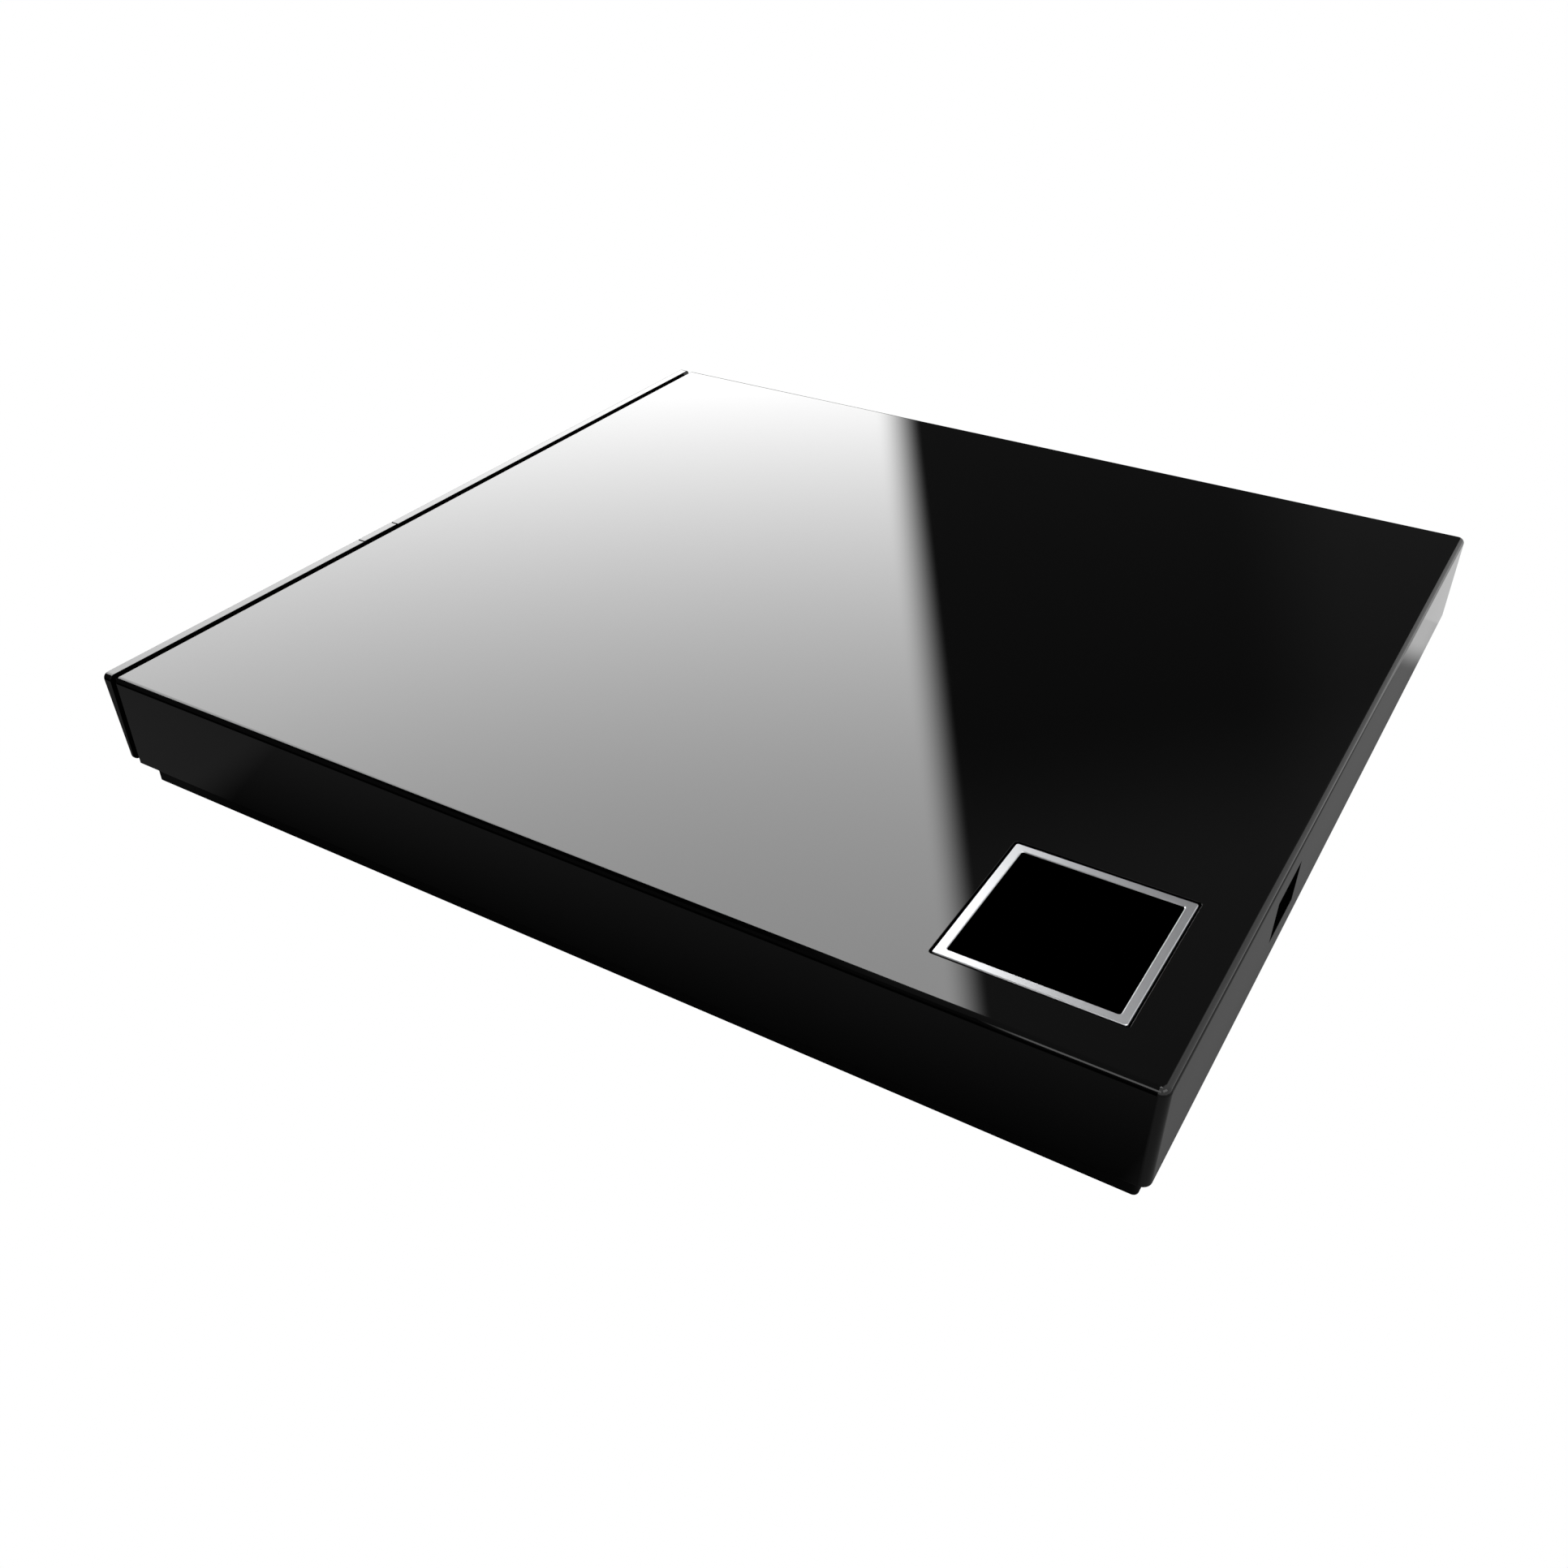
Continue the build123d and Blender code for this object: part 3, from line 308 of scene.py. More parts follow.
# Glass-filled nylon: black, with the slight grey bloom of fibres at the surface.
BLACK_NYLON = Finish("glass_filled_nylon", "#101112", roughness=0.48, grain=0.5, shade="#1d1e20")
# Moulded ABS of the tray: charcoal with a fine even texture that scatters the light.
TRAY_ABS = Finish("textured_tray_abs", "#161719", roughness=0.5, grain=0.28, depth=0.008, shade="#1e1f22", edge=0.18)
# Solder mask on glass fibre: deep green gloss with slightly raised, lighter tracks.
GREEN_BOARD = Finish(
    "green_solder_mask",
    "#0f4a2c",
    Pattern.PRINTED,
    roughness=0.28,
    grain=1.8,
    depth=0.02,
    shade="#2f7d4c",
    shade_share=0.7,
)
# Moulded epoxy of a chip: dull black with a mineral grain.
CHIP_EPOXY = Finish("chip_epoxy", "#131313", roughness=0.6, grain=0.15, shade="#2a2a2a")
# Polyester film over flat copper: pale, with a stripe for each conductor.
RIBBON_FILM = Finish(
    "ribbon_film",
    "#e8e6df",
    Pattern.STRIPED,
    roughness=0.3,
    grain=1.0,
    depth=0.004,
    shade="#9a938a",
    shade_share=0.8,
    edge=0,
)
# Milky polycarbonate light pipe: glows softly where the lamp sits behind it.
LAMP_LENS = Finish(
    "milky_light_pipe", "#cfd6d2", Pattern.POLISHED, roughness=0.25, grain=2.0, depth=0, transmission=0.3, edge=0.05
)
# Die-cast zinc alloy: mid grey, slightly pitted and shot-blasted.
CAST_ALLOY = Finish(
    "die_cast_zinc", "#85878a", Pattern.CAST, metallic=1.0, roughness=0.42, grain=0.7, depth=0.01, shade="#6f7174"
)
# Turned and ground steel: bright, with faint rings.
GROUND_STEEL = Finish(
    "ground_steel",
    "#cfd0d2",
    Pattern.BRUSHED,
    metallic=1.0,
    roughness=0.16,
    swing=0.04,
    grain=0.1,
    depth=0.0003,
    edge=0.05,
)
# Black-zinc plated screw steel: dark metal that still glints.
SCREW_STEEL = Finish(
    "black_zinc_steel", "#3a3b3d", Pattern.CAST, metallic=1.0, roughness=0.34, grain=0.3, depth=0.002, edge=0.06
)
# Drawn steel can of a motor: satin silver.
MOTOR_CAN = Finish(
    "drawn_steel_can", "#9a9b9d", Pattern.BRUSHED, metallic=1.0, roughness=0.3, grain=0.15, depth=0.001
)
# Enamelled copper wire: warm, glossy and slightly brown.
COPPER_WIRE = Finish(
    "enamelled_copper", "#b4602e", Pattern.POLISHED, metallic=1.0, roughness=0.22, grain=0.6, depth=0, edge=0
)
# Acetal: off-white, waxy and smooth.
ACETAL = Finish("natural_acetal", "#dcd8cc", Pattern.POLISHED, roughness=0.38, grain=1.0, depth=0, edge=0.08)
# Liquid-crystal polymer of the lens holder: very dark brown and slightly glossy.
LENS_HOLDER = Finish("liquid_crystal_polymer", "#2b241c", roughness=0.4, grain=0.25, depth=0.003, edge=0.1)
# Coated lens glass: clear, with a blue-violet bloom from its coating.
LENS_GLASS = Finish(
    "coated_lens_glass",
    "#5058a8",
    Pattern.POLISHED,
    roughness=0.02,
    swing=0.01,
    ior=1.6,
    depth=0,
    transmission=0.6,
    edge=0,
)
# Moulded connector plastic: black and slightly shiny.
PORT_PLASTIC = Finish("connector_plastic", "#0c0c0d", roughness=0.4, grain=0.3, depth=0.003, edge=0.06)
# Gold flash over nickel on sliding contacts.
GOLD_CONTACT = Finish(
    "gold_flashed_contact", "#d9b25c", Pattern.BRUSHED, metallic=1.0, roughness=0.2, grain=0.1, depth=0, edge=0.03
)


class Wardrobe:
    """Makes each finish's material once and puts it on pieces."""

    def __init__(self) -> None:
        """Start with no materials made."""
        self.made: dict[str, bpy.types.Material] = {}

    def material(self, finish: Finish) -> bpy.types.Material:
        """Return the finish's material, making it the first time."""
        if finish.name not in self.made:
            self.made[finish.name] = finish.build()
        return self.made[finish.name]

    def dress(self, finish: Finish, *nodes: str) -> None:
        """Give CAD nodes a finish.

        Args:
            finish: What they are made of.
            nodes: The CAD nodes' names.
        """
        for name in nodes:
            piece = frame["nodes"][name]
            for material_slot in piece.material_slots:
                material_slot.material = self.material(finish)
            log.info("%s: %s", name, finish.name)


# ------------------------------------------------------------------------------------------ shapes
Ring = list[Vector]


class Form:
    """Collects the skin of one new piece, in metres."""

    def __init__(self) -> None:
        """Start with an empty mesh."""
        self.mesh = bmesh.new()

    def skin(self, rings: list[Ring], closed: bool = False) -> None:
        """Join rings of points into a skin.

        Args:
            rings: Rings with equal numbers of points, in order.
            closed: Whether the last ring joins the first; otherwise both ends are capped.
        """
        rows = [[self.mesh.verts.new(point) for point in ring] for ring in rings]
        pairs = list(zip(rows, rows[1:])) + ([(rows[-1], rows[0])] if closed else [])
        for one, two in pairs:
            for i in range(len(one)):
                j = (i + 1) % len(one)
                self.mesh.faces.new((one[i], one[j], two[j], two[i]))
        if not closed:
            self.mesh.faces.new(rows[0][::-1])
            self.mesh.faces.new(rows[-1])

    def tube(self, path: Ring, section: list[tuple[float, float]], up: Vector, closed: bool = False) -> None:
        """Sweep a section along a path.

        Args:
            path: The points that the section's origin follows.
            section: The section's points, across and up, in metres.
            up: Roughly which way the section's second axis points.
            closed: Whether the path is a loop.
        """
        rings = []
        for i, point in enumerate(path):
            before = path[i - 1] if i or closed else point
            after = path[(i + 1) % len(path)] if i + 1 < len(path) or closed else point
            into, out = (point - before).normalized(), (after - point).normalized()
            ahead = (into + out).normalized()
            across = ahead.cross(up).normalized()
            rise = across.cross(ahead)
            # A corner's section is stretched so that the sides keep their thickness.
            half = max(ahead.dot(out if out.length else into), 0.3)
            rings.append([point + across * (a / half) + rise * b for a, b in section])
        self.skin(rings, closed)

    def lathe(self, profile: list[tuple[float, float]], base: Vector, axis: Vector, sides: int = 24) -> None:
        """Turn a profile about an axis.

        Args:
            profile: Distances from the axis and along it, in metres.
            base: The point of the axis where the profile's second value is zero.
            axis: The axis's direction.
            sides: How many faces go round.
        """
        across = axis.orthogonal().normalized()
        second = axis.cross(across)
        spin = [across * math.cos(math.tau * k / sides) + second * math.sin(math.tau * k / sides) for k in range(sides)]
        self.skin([[base + axis * along + out * r for out in spin] for r, along in profile])

    def piece(self, name: str, material: bpy.types.Material, slot: str, body: str) -> bpy.types.Object:
        """Finish the mesh and make it ride on a body.

        Args:
            name: The piece's name.
            material: Its finish's material.
            slot: The record's material slot; not used.
            body: The CAD body that it moves with.

        Returns:
            The new object.
        """
        bmesh.ops.recalc_face_normals(self.mesh, faces=self.mesh.faces)
        data = bpy.data.meshes.new(name)
        self.mesh.to_mesh(data)
        self.mesh.free()
        data.shade_smooth()
        data.set_sharp_from_angle(angle=math.radians(35))
        data.materials.append(material)
        thing = bpy.data.objects.new(name, data)
        bpy.context.scene.collection.objects.link(thing)
        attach(thing, body)
        log.info("%s: %d faces, rides on %s", name, len(data.polygons), body)
        return thing


def circle(radius: float, sides: int = 8) -> list[tuple[float, float]]:
    """Return the points of a round section."""
    return [(radius * math.cos(math.tau * k / sides), radius * math.sin(math.tau * k / sides)) for k in range(sides)]


def box_section(across: tuple[float, float], rise: tuple[float, float]) -> list[tuple[float, float]]:
    """Return the points of a rectangular section."""
    return [(across[0], rise[0]), (across[1], rise[0]), (across[1], rise[1]), (across[0], rise[1])]


def loose_parts(node: str) -> list[Ring]:
    """Split a CAD node's points into its separate solids.

    Args:
        node: The CAD node's name.

    Returns:
        The points of each solid.
    """
    mesh = bmesh.new()
    mesh.from_mesh(frame["nodes"][node].data)
    bmesh.ops.remove_doubles(mesh, verts=mesh.verts, dist=0.001 * MM)
    left, parts = set(mesh.verts), []
    while left:
        edge, part = [left.pop()], []
        while edge:
            here = edge.pop()
            part.append(here.co.copy())
            near = {e.other_vert(here) for e in here.link_edges} & left
            left -= near
            edge.extend(near)
        parts.append(part)
    mesh.free()
    return parts


def span(points: Ring, axis: Vector) -> tuple[float, float]:
    """Return how far points reach along an axis, lowest and highest."""
    values = [point.dot(axis) for point in points]
    return min(values), max(values)


def axis_of(points: Ring, axis: Vector) -> tuple[Vector, Vector]:
    """Find the two ends of a round bar's middle line.

    Args:
        points: The bar's points.
        axis: Its direction.

    Returns:
        The middle line's lower and upper ends.
    """
    across = axis.orthogonal().normalized()
    middle = sum((v * (sum(span(points, v)) / 2) for v in (across, axis.cross(across))), Vector())
    low, high = span(points, axis)
    return middle + axis * low, middle + axis * high


@dataclass
class Screw:
    """One screw, measured from its CAD solid."""

    points: Ring
    thread_pitch: float = 0.5 * MM
    thread_root: float = 0.8  # share of the shank's radius
    plain_neck: float = 0.2 * MM
    plain_tip: float = 0.3 * MM
    tip_bevel: float = 0.25 * MM
    flat: float = 0.01 * MM  # points this close to an end's plane lie in it
    core: float = 0.3 * MM  # points nearer the axis than this are no rim
    axis: Vector = field(init=False)
    top: Vector = field(init=False)
    length: float = field(init=False)
    head_r: float = field(init=False)
    head: float = field(init=False)
    shank_r: float = field(init=False)

    def __post_init__(self) -> None:
        """Find the axis, the end that the head is on, and the sizes."""
        sides = [Vector(v) for v in ((1, 0, 0), (0, 1, 0), (0, 0, 1))]
        sizes = [span(self.points, v)[1] - span(self.points, v)[0] for v in sides]
        gaps = [abs(sizes[(i + 1) % 3] - sizes[(i + 2) % 3]) for i in range(3)]
        self.axis = sides[gaps.index(min(gaps))]
        low, high = axis_of(self.points, self.axis)
        out = [(p - low - self.axis * (p - low).dot(self.axis)).length for p in self.points]
        self.head_r = max(out)
        rim = [p for p, r in zip(self.points, out) if r > 0.9 * self.head_r]
        rim_low, rim_high = span(rim, self.axis)
        base, tip = low.dot(self.axis), high.dot(self.axis)
        if rim_low - base < tip - rim_high:
            self.axis, low, high = -self.axis, high, low
        self.top = high
        self.head = rim_high - rim_low
        self.length = (high - low).length
        at_tip = [r for p, r in zip(self.points, out) if (p - low).length < r + self.flat]
        self.shank_r = min(r for r in at_tip if r > self.core)

    def add_to(self, form: Form) -> None:
        """Turn the screw's head and thread.

        Args:
            form: The mesh that gets the screw.
        """
        r, h, s = self.head_r, self.head, self.shank_r
        profile = [(0.02 * MM, 0.0), (0.72 * r, 0.0), (0.94 * r, -0.12 * h), (r, -0.4 * h), (r, -h), (s, -h)]
        at = h + self.plain_neck
        while at + self.thread_pitch < self.length - self.plain_tip:
            profile += [(s, -at), (self.thread_root * s, -at - self.thread_pitch * 0.5)]
            at += self.thread_pitch
        profile += [(s, -self.length + self.tip_bevel), (0.7 * s, -self.length)]
        form.lathe(profile, self.top, self.axis, 20)

    def recess(self, form: Form) -> None:
        """Add the tapered cross that is cut out of the head.

        Args:
            form: The mesh that gets the cross.
        """
        arm, half, depth = 0.62 * self.head_r, 0.13 * self.head_r, 0.7 * self.head
        across = self.axis.orthogonal().normalized()
        second = self.axis.cross(across)
        outline = [(arm, half), (half, half), (half, arm), (-half, arm), (-half, half), (-arm, half)]
        outline += [(-a, -b) for a, b in outline]
        levels = ((0.1 * MM, 1.0), (-depth, 0.6))
        form.skin([[self.top + self.axis * d + (across * a + second * b) * k for a, b in outline] for d, k in levels])


# ------------------------------------------------------------------------------------------ studio
@dataclass
class Panel:
    """A soft light panel that only surfaces see, never the camera."""

    name: str
    azimuth: float
    elevation: float
    distance: float
    left: float
    right: float
    low: float
    high: float
    strength: float = 1.0

    def place(self) -> Matrix:
        """Return the matrix that faces the panel at the drive's middle."""
        turn, tilt = math.radians(self.azimuth), math.radians(self.elevation)
        out = Vector((math.sin(turn) * math.cos(tilt), math.cos(turn) * math.cos(tilt), math.sin(tilt)))
        across = Vector((0, 0, 1)).cross(out).normalized()
        upwards = out.cross(across)
        matrix = Matrix((across, upwards, out)).transposed().to_4x4()
        matrix.translation = out * self.distance
        return matrix


@dataclass(frozen=True)
class Ramp:
    """A smooth change of brightness over a place, in metres, or over a direction."""

    start: float
    end: float
    low: float
    high: float

    def of(self, tree: bpy.types.NodeTree, value: Any) -> Any:
        """Return the brightness at a value, as a socket."""
        return ramp_between(tree, value, self.start, self.end, self.low, self.high)


@dataclass
class Studio:
    """Camera, pale floor, white surround and the soft panels."""

    azimuth: float = 120.44
    elevation: float = 34.32
    distance: float = 228.15 * MM
    target: tuple[float, float, float] = (29.89 * MM, 14.26 * MM, 10.8 * MM)
    focal_px: float = 1858.67
    centre_px: tuple[float, float] = (1011.12, 937.91)
    # The key panel's brightness up its height, in tenths of a metre from its middle: level + slope v + curve v v.
    key_level: float = 5.146
    key_slope: float = -0.578
    key_curve: float = 0.157
    key_edge: Ramp = Ramp(-0.233, -0.203, 0.0, 1.0)
    key_far_side: Ramp = Ramp(-0.43, -0.53, 0.035, 0.07)
    key_above: Ramp = Ramp(0.1, 0.23, 0.0, 0.07)
    panel_fade: float = 0.04
    # What polished faces see of the floor: the drive's shadow painted into a glow, close to each side of the drive.
    floor_half: float = 3.0
    floor_right: Ramp = Ramp(0.0775, 0.1025, 0.0, 0.105)
    floor_front: Ramp = Ramp(-0.064, -0.080, 0.0, 0.12)
    floor_close: Ramp = Ramp(0.102, 0.105, 1.0, 0.0)
    floor_rear_left: Ramp = Ramp(-0.062, -0.074, 0.165, 0.68)
    floor_behind: Ramp = Ramp(0.078, 0.087, 0.0, 1.0)
    floor_further: Ramp = Ramp(0.1, 0.22, 1.0, 2.2)
    floor_left: Ramp = Ramp(-0.0775, -0.084, 0.0, 0.75)
    # What they see of the room, by the direction's part along +Y or +Z.
    room_rear: Ramp = Ramp(-0.06, 0.12, 0.035, 0.9)
    room_above: Ramp = Ramp(0.58, 0.7, 0.0, 0.07)
    room_beyond: Ramp = Ramp(-0.42, -0.32, 0.0, 1.0)
    room_low: Ramp = Ramp(0.6, 0.68, 1.0, 0.0)
    key: Panel = field(default_factory=lambda: Panel("key_panel", -135, 30, 0.7, -0.75, 0.62, -0.165, 0.33))
    others: tuple[Panel, ...] = (
        Panel("back_panel", 25, 42, 0.8, -0.3, 0.3, -0.18, 0.18, 2.6),
        Panel("right_panel", 84, 34, 0.8, -0.22, 0.28, -0.16, 0.16, 2.2),
        Panel("overhead_panel", -20, 84, 0.8, -0.1, 0.1, -0.1, 0.1, 4.0),
    )

    def camera(self) -> None:
        """Make the camera and make it the scene's own."""
        turn, tilt = math.radians(self.azimuth), math.radians(self.elevation)
        back = Vector((math.sin(turn) * math.cos(tilt), -math.cos(turn) * math.cos(tilt), math.sin(tilt)))
        data = bpy.data.cameras.new("camera")
        data.sensor_width = SENSOR
        data.lens = self.focal_px / IMAGE_SIDE * SENSOR
        data.shift_x = (IMAGE_SIDE / 2 - self.centre_px[0]) / IMAGE_SIDE
        data.shift_y = (self.centre_px[1] - IMAGE_SIDE / 2) / IMAGE_SIDE
        data.clip_start, data.clip_end = 0.005, 50.0
        camera = bpy.data.objects.new("camera", data)
        camera.location = Vector(self.target) + back * self.distance
        camera.rotation_euler = back.to_track_quat("Z", "Y").to_euler()
        bpy.context.scene.collection.objects.link(camera)
        bpy.context.scene.camera = camera

    def staged(self, name: str, corners: list, seen_by: tuple[str, ...], sampled: bool) -> bpy.types.Object:
        """Add a one-face object that isn't part of the drive.

        Args:
            name: Its name, and its material's.
            corners: The face's corners.
            seen_by: The kinds of ray that see it.
            sampled: Whether it is lit from as a lamp is.

        Returns:
            The object, with an emission material whose tree holds only an Emission node and its output.
        """
        mesh = bpy.data.meshes.new(name)
        mesh.from_pydata(corners, [], [tuple(range(len(corners)))])
        thing = bpy.data.objects.new(name, mesh)
        bpy.context.scene.collection.objects.link(thing)
        for kind in ("camera", "diffuse", "glossy", "transmission", "volume_scatter", "shadow"):
            setattr(thing, f"visible_{kind}", kind in seen_by)
        material = bpy.data.materials.new(name)
        material.use_nodes = True
        material.cycles.emission_sampling = "FRONT_BACK" if sampled else "NONE"
        tree = material.node_tree
        tree.nodes.clear()
        glow = add_node(tree, "ShaderNodeEmission", {"Color": linear("#ffffff"), "Strength": 1.0})
        add_node(tree, "ShaderNodeOutputMaterial", {"Surface": glow.outputs[0]})
        mesh.materials.append(material)
        return thing

    def glow(self, thing: bpy.types.Object) -> tuple[bpy.types.NodeTree, bpy.types.Node, Any, Any]:
        """Return a staged object's tree, its Emission node, and its own x and y as sockets."""
        tree = thing.data.materials[0].node_tree
        place = add_node(tree, "ShaderNodeTexCoord").outputs["Object"]
        split = add_node(tree, "ShaderNodeSeparateXYZ", {0: place})
        return tree, next(n for n in tree.nodes if n.type == "EMISSION"), split.outputs[0], split.outputs[1]

    def panel(self, spec: Panel) -> bpy.types.Object:
        """Add a panel's face.

        Args:
            spec: The panel's place, size and strength.

        Returns:
            The staged object.
        """
        corners = [
            (spec.left, spec.low, 0),
            (spec.right, spec.low, 0),
            (spec.right, spec.high, 0),
            (spec.left, spec.high, 0),
        ]
        thing = self.staged(spec.name, corners, ("diffuse", "glossy", "transmission"), True)
        thing.matrix_world = spec.place()
        return thing

    def key_panel(self) -> None:
        """Add the key panel, bright to one side of a soft edge and a little brighter low down."""
        tree, glow, u, v = self.glow(self.panel(self.key))
        tenths = combine(tree, "MULTIPLY", v, 10.0)
        slope = add_node(
            tree, "ShaderNodeMath", {0: tenths, 1: self.key_curve, 2: self.key_slope}, operation="MULTIPLY_ADD"
        ).outputs[0]
        level = add_node(
            tree, "ShaderNodeMath", {0: slope, 1: tenths, 2: self.key_level}, operation="MULTIPLY_ADD"
        ).outputs[0]
        lit = combine(tree, "MULTIPLY", level, self.key_edge.of(tree, u))
        total = combine(tree, "ADD", lit, self.key_far_side.of(tree, u), self.key_above.of(tree, v))
        tree.links.new(total, glow.inputs["Strength"])

    def soft_panel(self, spec: Panel) -> None:
        """Add a panel that fades towards its rim."""
        tree, glow, u, v = self.glow(self.panel(spec))
        fade = self.panel_fade
        parts = [
            ramp_between(tree, u, spec.left, spec.left + fade, 0.0, 1.0),
            ramp_between(tree, u, spec.right, spec.right - fade, 0.0, 1.0),
            ramp_between(tree, v, spec.low, spec.low + fade, 0.0, 1.0),
            ramp_between(tree, v, spec.high, spec.high - fade, 0.0, spec.strength),
        ]
        tree.links.new(combine(tree, "MULTIPLY", *parts), glow.inputs["Strength"])

    def floor(self) -> None:
        """Add the pale floor, and what polished faces see of it.

        The camera sees plain white.  Polished faces see a glowing copy with the drive's shadow painted into it: dark
        close to the right-hand side, grey behind, and lit on the left.
        """
        half = self.floor_half
        corners = [(-half, -half, 0), (half, -half, 0), (half, half, 0), (-half, half, 0)]
        self.staged("floor", corners, ("camera",), False)
        # A glow that paints the drive's shadow and the lit floor beside it, seen only by diffuse and glossy rays.
        shade = self.staged("floor_shading", corners, ("diffuse", "glossy"), False)
        shade.location.z = -0.1 * MM
        tree, glow, x, y = self.glow(shade)
        # Beside the right-hand side the floor brightens at a steady rate, so this ramp isn't a smooth one.
        rise = self.floor_right
        steady = {"Value": x, 1: rise.start, 2: rise.end, 3: rise.low, 4: rise.high}
        near = add_node(tree, "ShaderNodeMapRange", steady).outputs[0]
        lit = combine(tree, "MAXIMUM", near, self.floor_front.of(tree, y))
        right = combine(tree, "MULTIPLY", lit, self.floor_close.of(tree, x))
        behind, further = self.floor_behind.of(tree, y), self.floor_further.of(tree, y)
        rear = combine(tree, "MULTIPLY", self.floor_rear_left.of(tree, x), behind, further)
        total = combine(tree, "MAXIMUM", right, rear, self.floor_left.of(tree, x))
        tree.links.new(total, glow.inputs["Strength"])

    def surround(self) -> None:
        """Add the white dome that the camera sees and the dim room that surfaces see."""
        dome = self.staged("white_surround", [(0, 0, 0), (1, 0, 0), (0, 1, 0)], ("camera",), False)
        shell = bmesh.new()
        bmesh.ops.create_icosphere(shell, subdivisions=3, radius=6.0)
        shell.to_mesh(dome.data)
        shell.free()
        world = bpy.data.worlds.new("dim_room")
        world.use_nodes = True
        bpy.context.scene.world = world
        tree = world.node_tree
        tree.nodes.clear()
        out = add_node(tree, "ShaderNodeTexCoord").outputs["Generated"]
        towards = add_node(tree, "ShaderNodeSeparateXYZ", {0: out})
        along, upwards = towards.outputs[1], towards.outputs[2]
        shown = combine(tree, "MAXIMUM", self.room_beyond.of(tree, along), self.room_low.of(tree, upwards))
        lit = combine(tree, "ADD", self.room_rear.of(tree, along), self.room_above.of(tree, upwards))
        level = combine(tree, "MULTIPLY", lit, shown)
        room = add_node(tree, "ShaderNodeBackground", {"Color": linear("#ffffff"), "Strength": level})
        add_node(tree, "ShaderNodeOutputWorld", {"Surface": room.outputs[0]})

    def build(self) -> None:
        """Make the whole studio."""
        bpy.context.scene.view_settings.view_transform = "Standard"
        self.camera()
        self.key_panel()
        for spec in self.others:
            self.soft_panel(spec)
        self.floor()
        self.surround()
        log.info("studio: camera, floor, surround and %d panels", 1 + len(self.others))


# ------------------------------------------------------------------------------------------ sub-assemblies
def make_screws(wardrobe: Wardrobe, node: str) -> None:
    """Replace a node of plain screws with threaded ones that have a cross recess.

    Args:
        wardrobe: Gives the screws' material.
        node: The CAD node.
    """
    form, cuts = Form(), Form()
    for points in loose_parts(node):
        screw = Screw(points)
        screw.add_to(form)
        screw.recess(cuts)
    body = body_of(frame["nodes"][node])[0]
    screws = form.piece(f"{node}_threaded", wardrobe.material(SCREW_STEEL), "screw_steel", body)
    cutter = cuts.piece(f"{node}_recess", wardrobe.material(SCREW_STEEL), "screw_steel", body)
    cut = screws.modifiers.new("recess", "BOOLEAN")
    cut.operation, cut.object, cut.solver = "DIFFERENCE", cutter, "EXACT"
    bpy.context.view_layer.update()
    shaped = bpy.data.meshes.new_from_object(screws.evaluated_get(bpy.context.evaluated_depsgraph_get()))
    screws.modifiers.remove(cut)
    screws.data = shaped
    bpy.data.objects.remove(cutter)
    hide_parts(node)


@dataclass
class Case:
    """Gloss shell, matt base, feet, screws and the emblem."""

    wardrobe: Wardrobe
    pocket_gap: float = 0.35 * MM
    groove_shade_height: float = 0.55 * MM

    def build(self) -> None:
        """Dress the case."""
        self.wardrobe.dress(PIANO_BLACK, "top_cover")
        self.wardrobe.dress(SPARKED_BLACK, "bottom_cover")
        self.wardrobe.dress(RUBBER, *(f"foot_{end}_{side}" for end in ("front", "rear") for side in ("left", "right")))
        make_screws(self.wardrobe, "case_screws")
        self.wardrobe.dress(BRUSHED_ALUMINIUM, "emblem_frame")
        self.wardrobe.dress(BLACK_ACRYLIC, "emblem_window")
        self.emblem_groove_shade()

    def emblem_groove_shade(self) -> None:
        """Add black foam in the emblem's pocket as painted shade, so the pocket's gap shows as a black line round it.
        """
        low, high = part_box("emblem_frame")
        wide, z = self.pocket_gap / 2, low.z
        corners = [(low.x - wide, low.y - wide), (high.x + wide, low.y - wide)]
        corners += [(high.x + wide, high.y + wide), (low.x - wide, high.y + wide)]
        form = Form()
        section = box_section((-0.95 * wide, 0.95 * wide), (0.0, self.groove_shade_height))
        form.tube([Vector((x, y, z)) for x, y in corners], section, Vector((0, 0, 1)), closed=True)
        form.piece("emblem_groove_shade", self.wardrobe.material(SEAM_SHADE_FILLER), "rubber", "housing")


@dataclass
class FrontPanel:
    """Bezel, eject button and status lamp."""

    wardrobe: Wardrobe
    seam: tuple[float, float] = (0.42 * MM, 0.75 * MM)
    seam_depth: tuple[float, float] = (0.75 * MM, 1.6 * MM)
    seam_bevel: float = 1.2 * MM
    button_room: float = 0.7 * MM

    def build(self) -> None:
        """Dress the panel."""
        self.wardrobe.dress(PIANO_BLACK, "front_bezel", "eject_button")
        self.wardrobe.dress(LAMP_LENS, "status_lens")
        self.wardrobe.dress(GREEN_BOARD, "front_board")
        self.wardrobe.dress(BLACK_NYLON, "eject_switch")
        self.seam_shade_filler()

    def seam_shade_filler(self) -> None:
        """Add black foam behind the bezel's rim as painted shade in its seam, in two lengths that leave the button
        free.
        """
        low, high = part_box("front_bezel")
        button_low, button_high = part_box("eject_button")
        foot = low.z + 0.05 * MM
        stops = ((-1, button_low.x - self.button_room), (1, button_high.x + self.button_room))
        for side, stop in stops:
            edge = high.x * side
            path = [(stop, high.z), (edge - side * self.seam_bevel, high.z), (edge, high.z - self.seam_bevel)]
            path.append((edge, foot))
            # The section's first axis points away from the case.
            section = box_section((-self.seam_depth[1], -self.seam_depth[0]), (-self.seam[0], self.seam[1]))
            points = [Vector((x, high.y, z)) for x, z in (path if side > 0 else path[::-1])]
            form = Form()
            form.tube(points, section, Vector((0, 1, 0)))
            name = "seam_shade_filler_right" if side > 0 else "seam_shade_filler_left"
            form.piece(name, self.wardrobe.material(SEAM_SHADE_FILLER), "rubber", "tray")


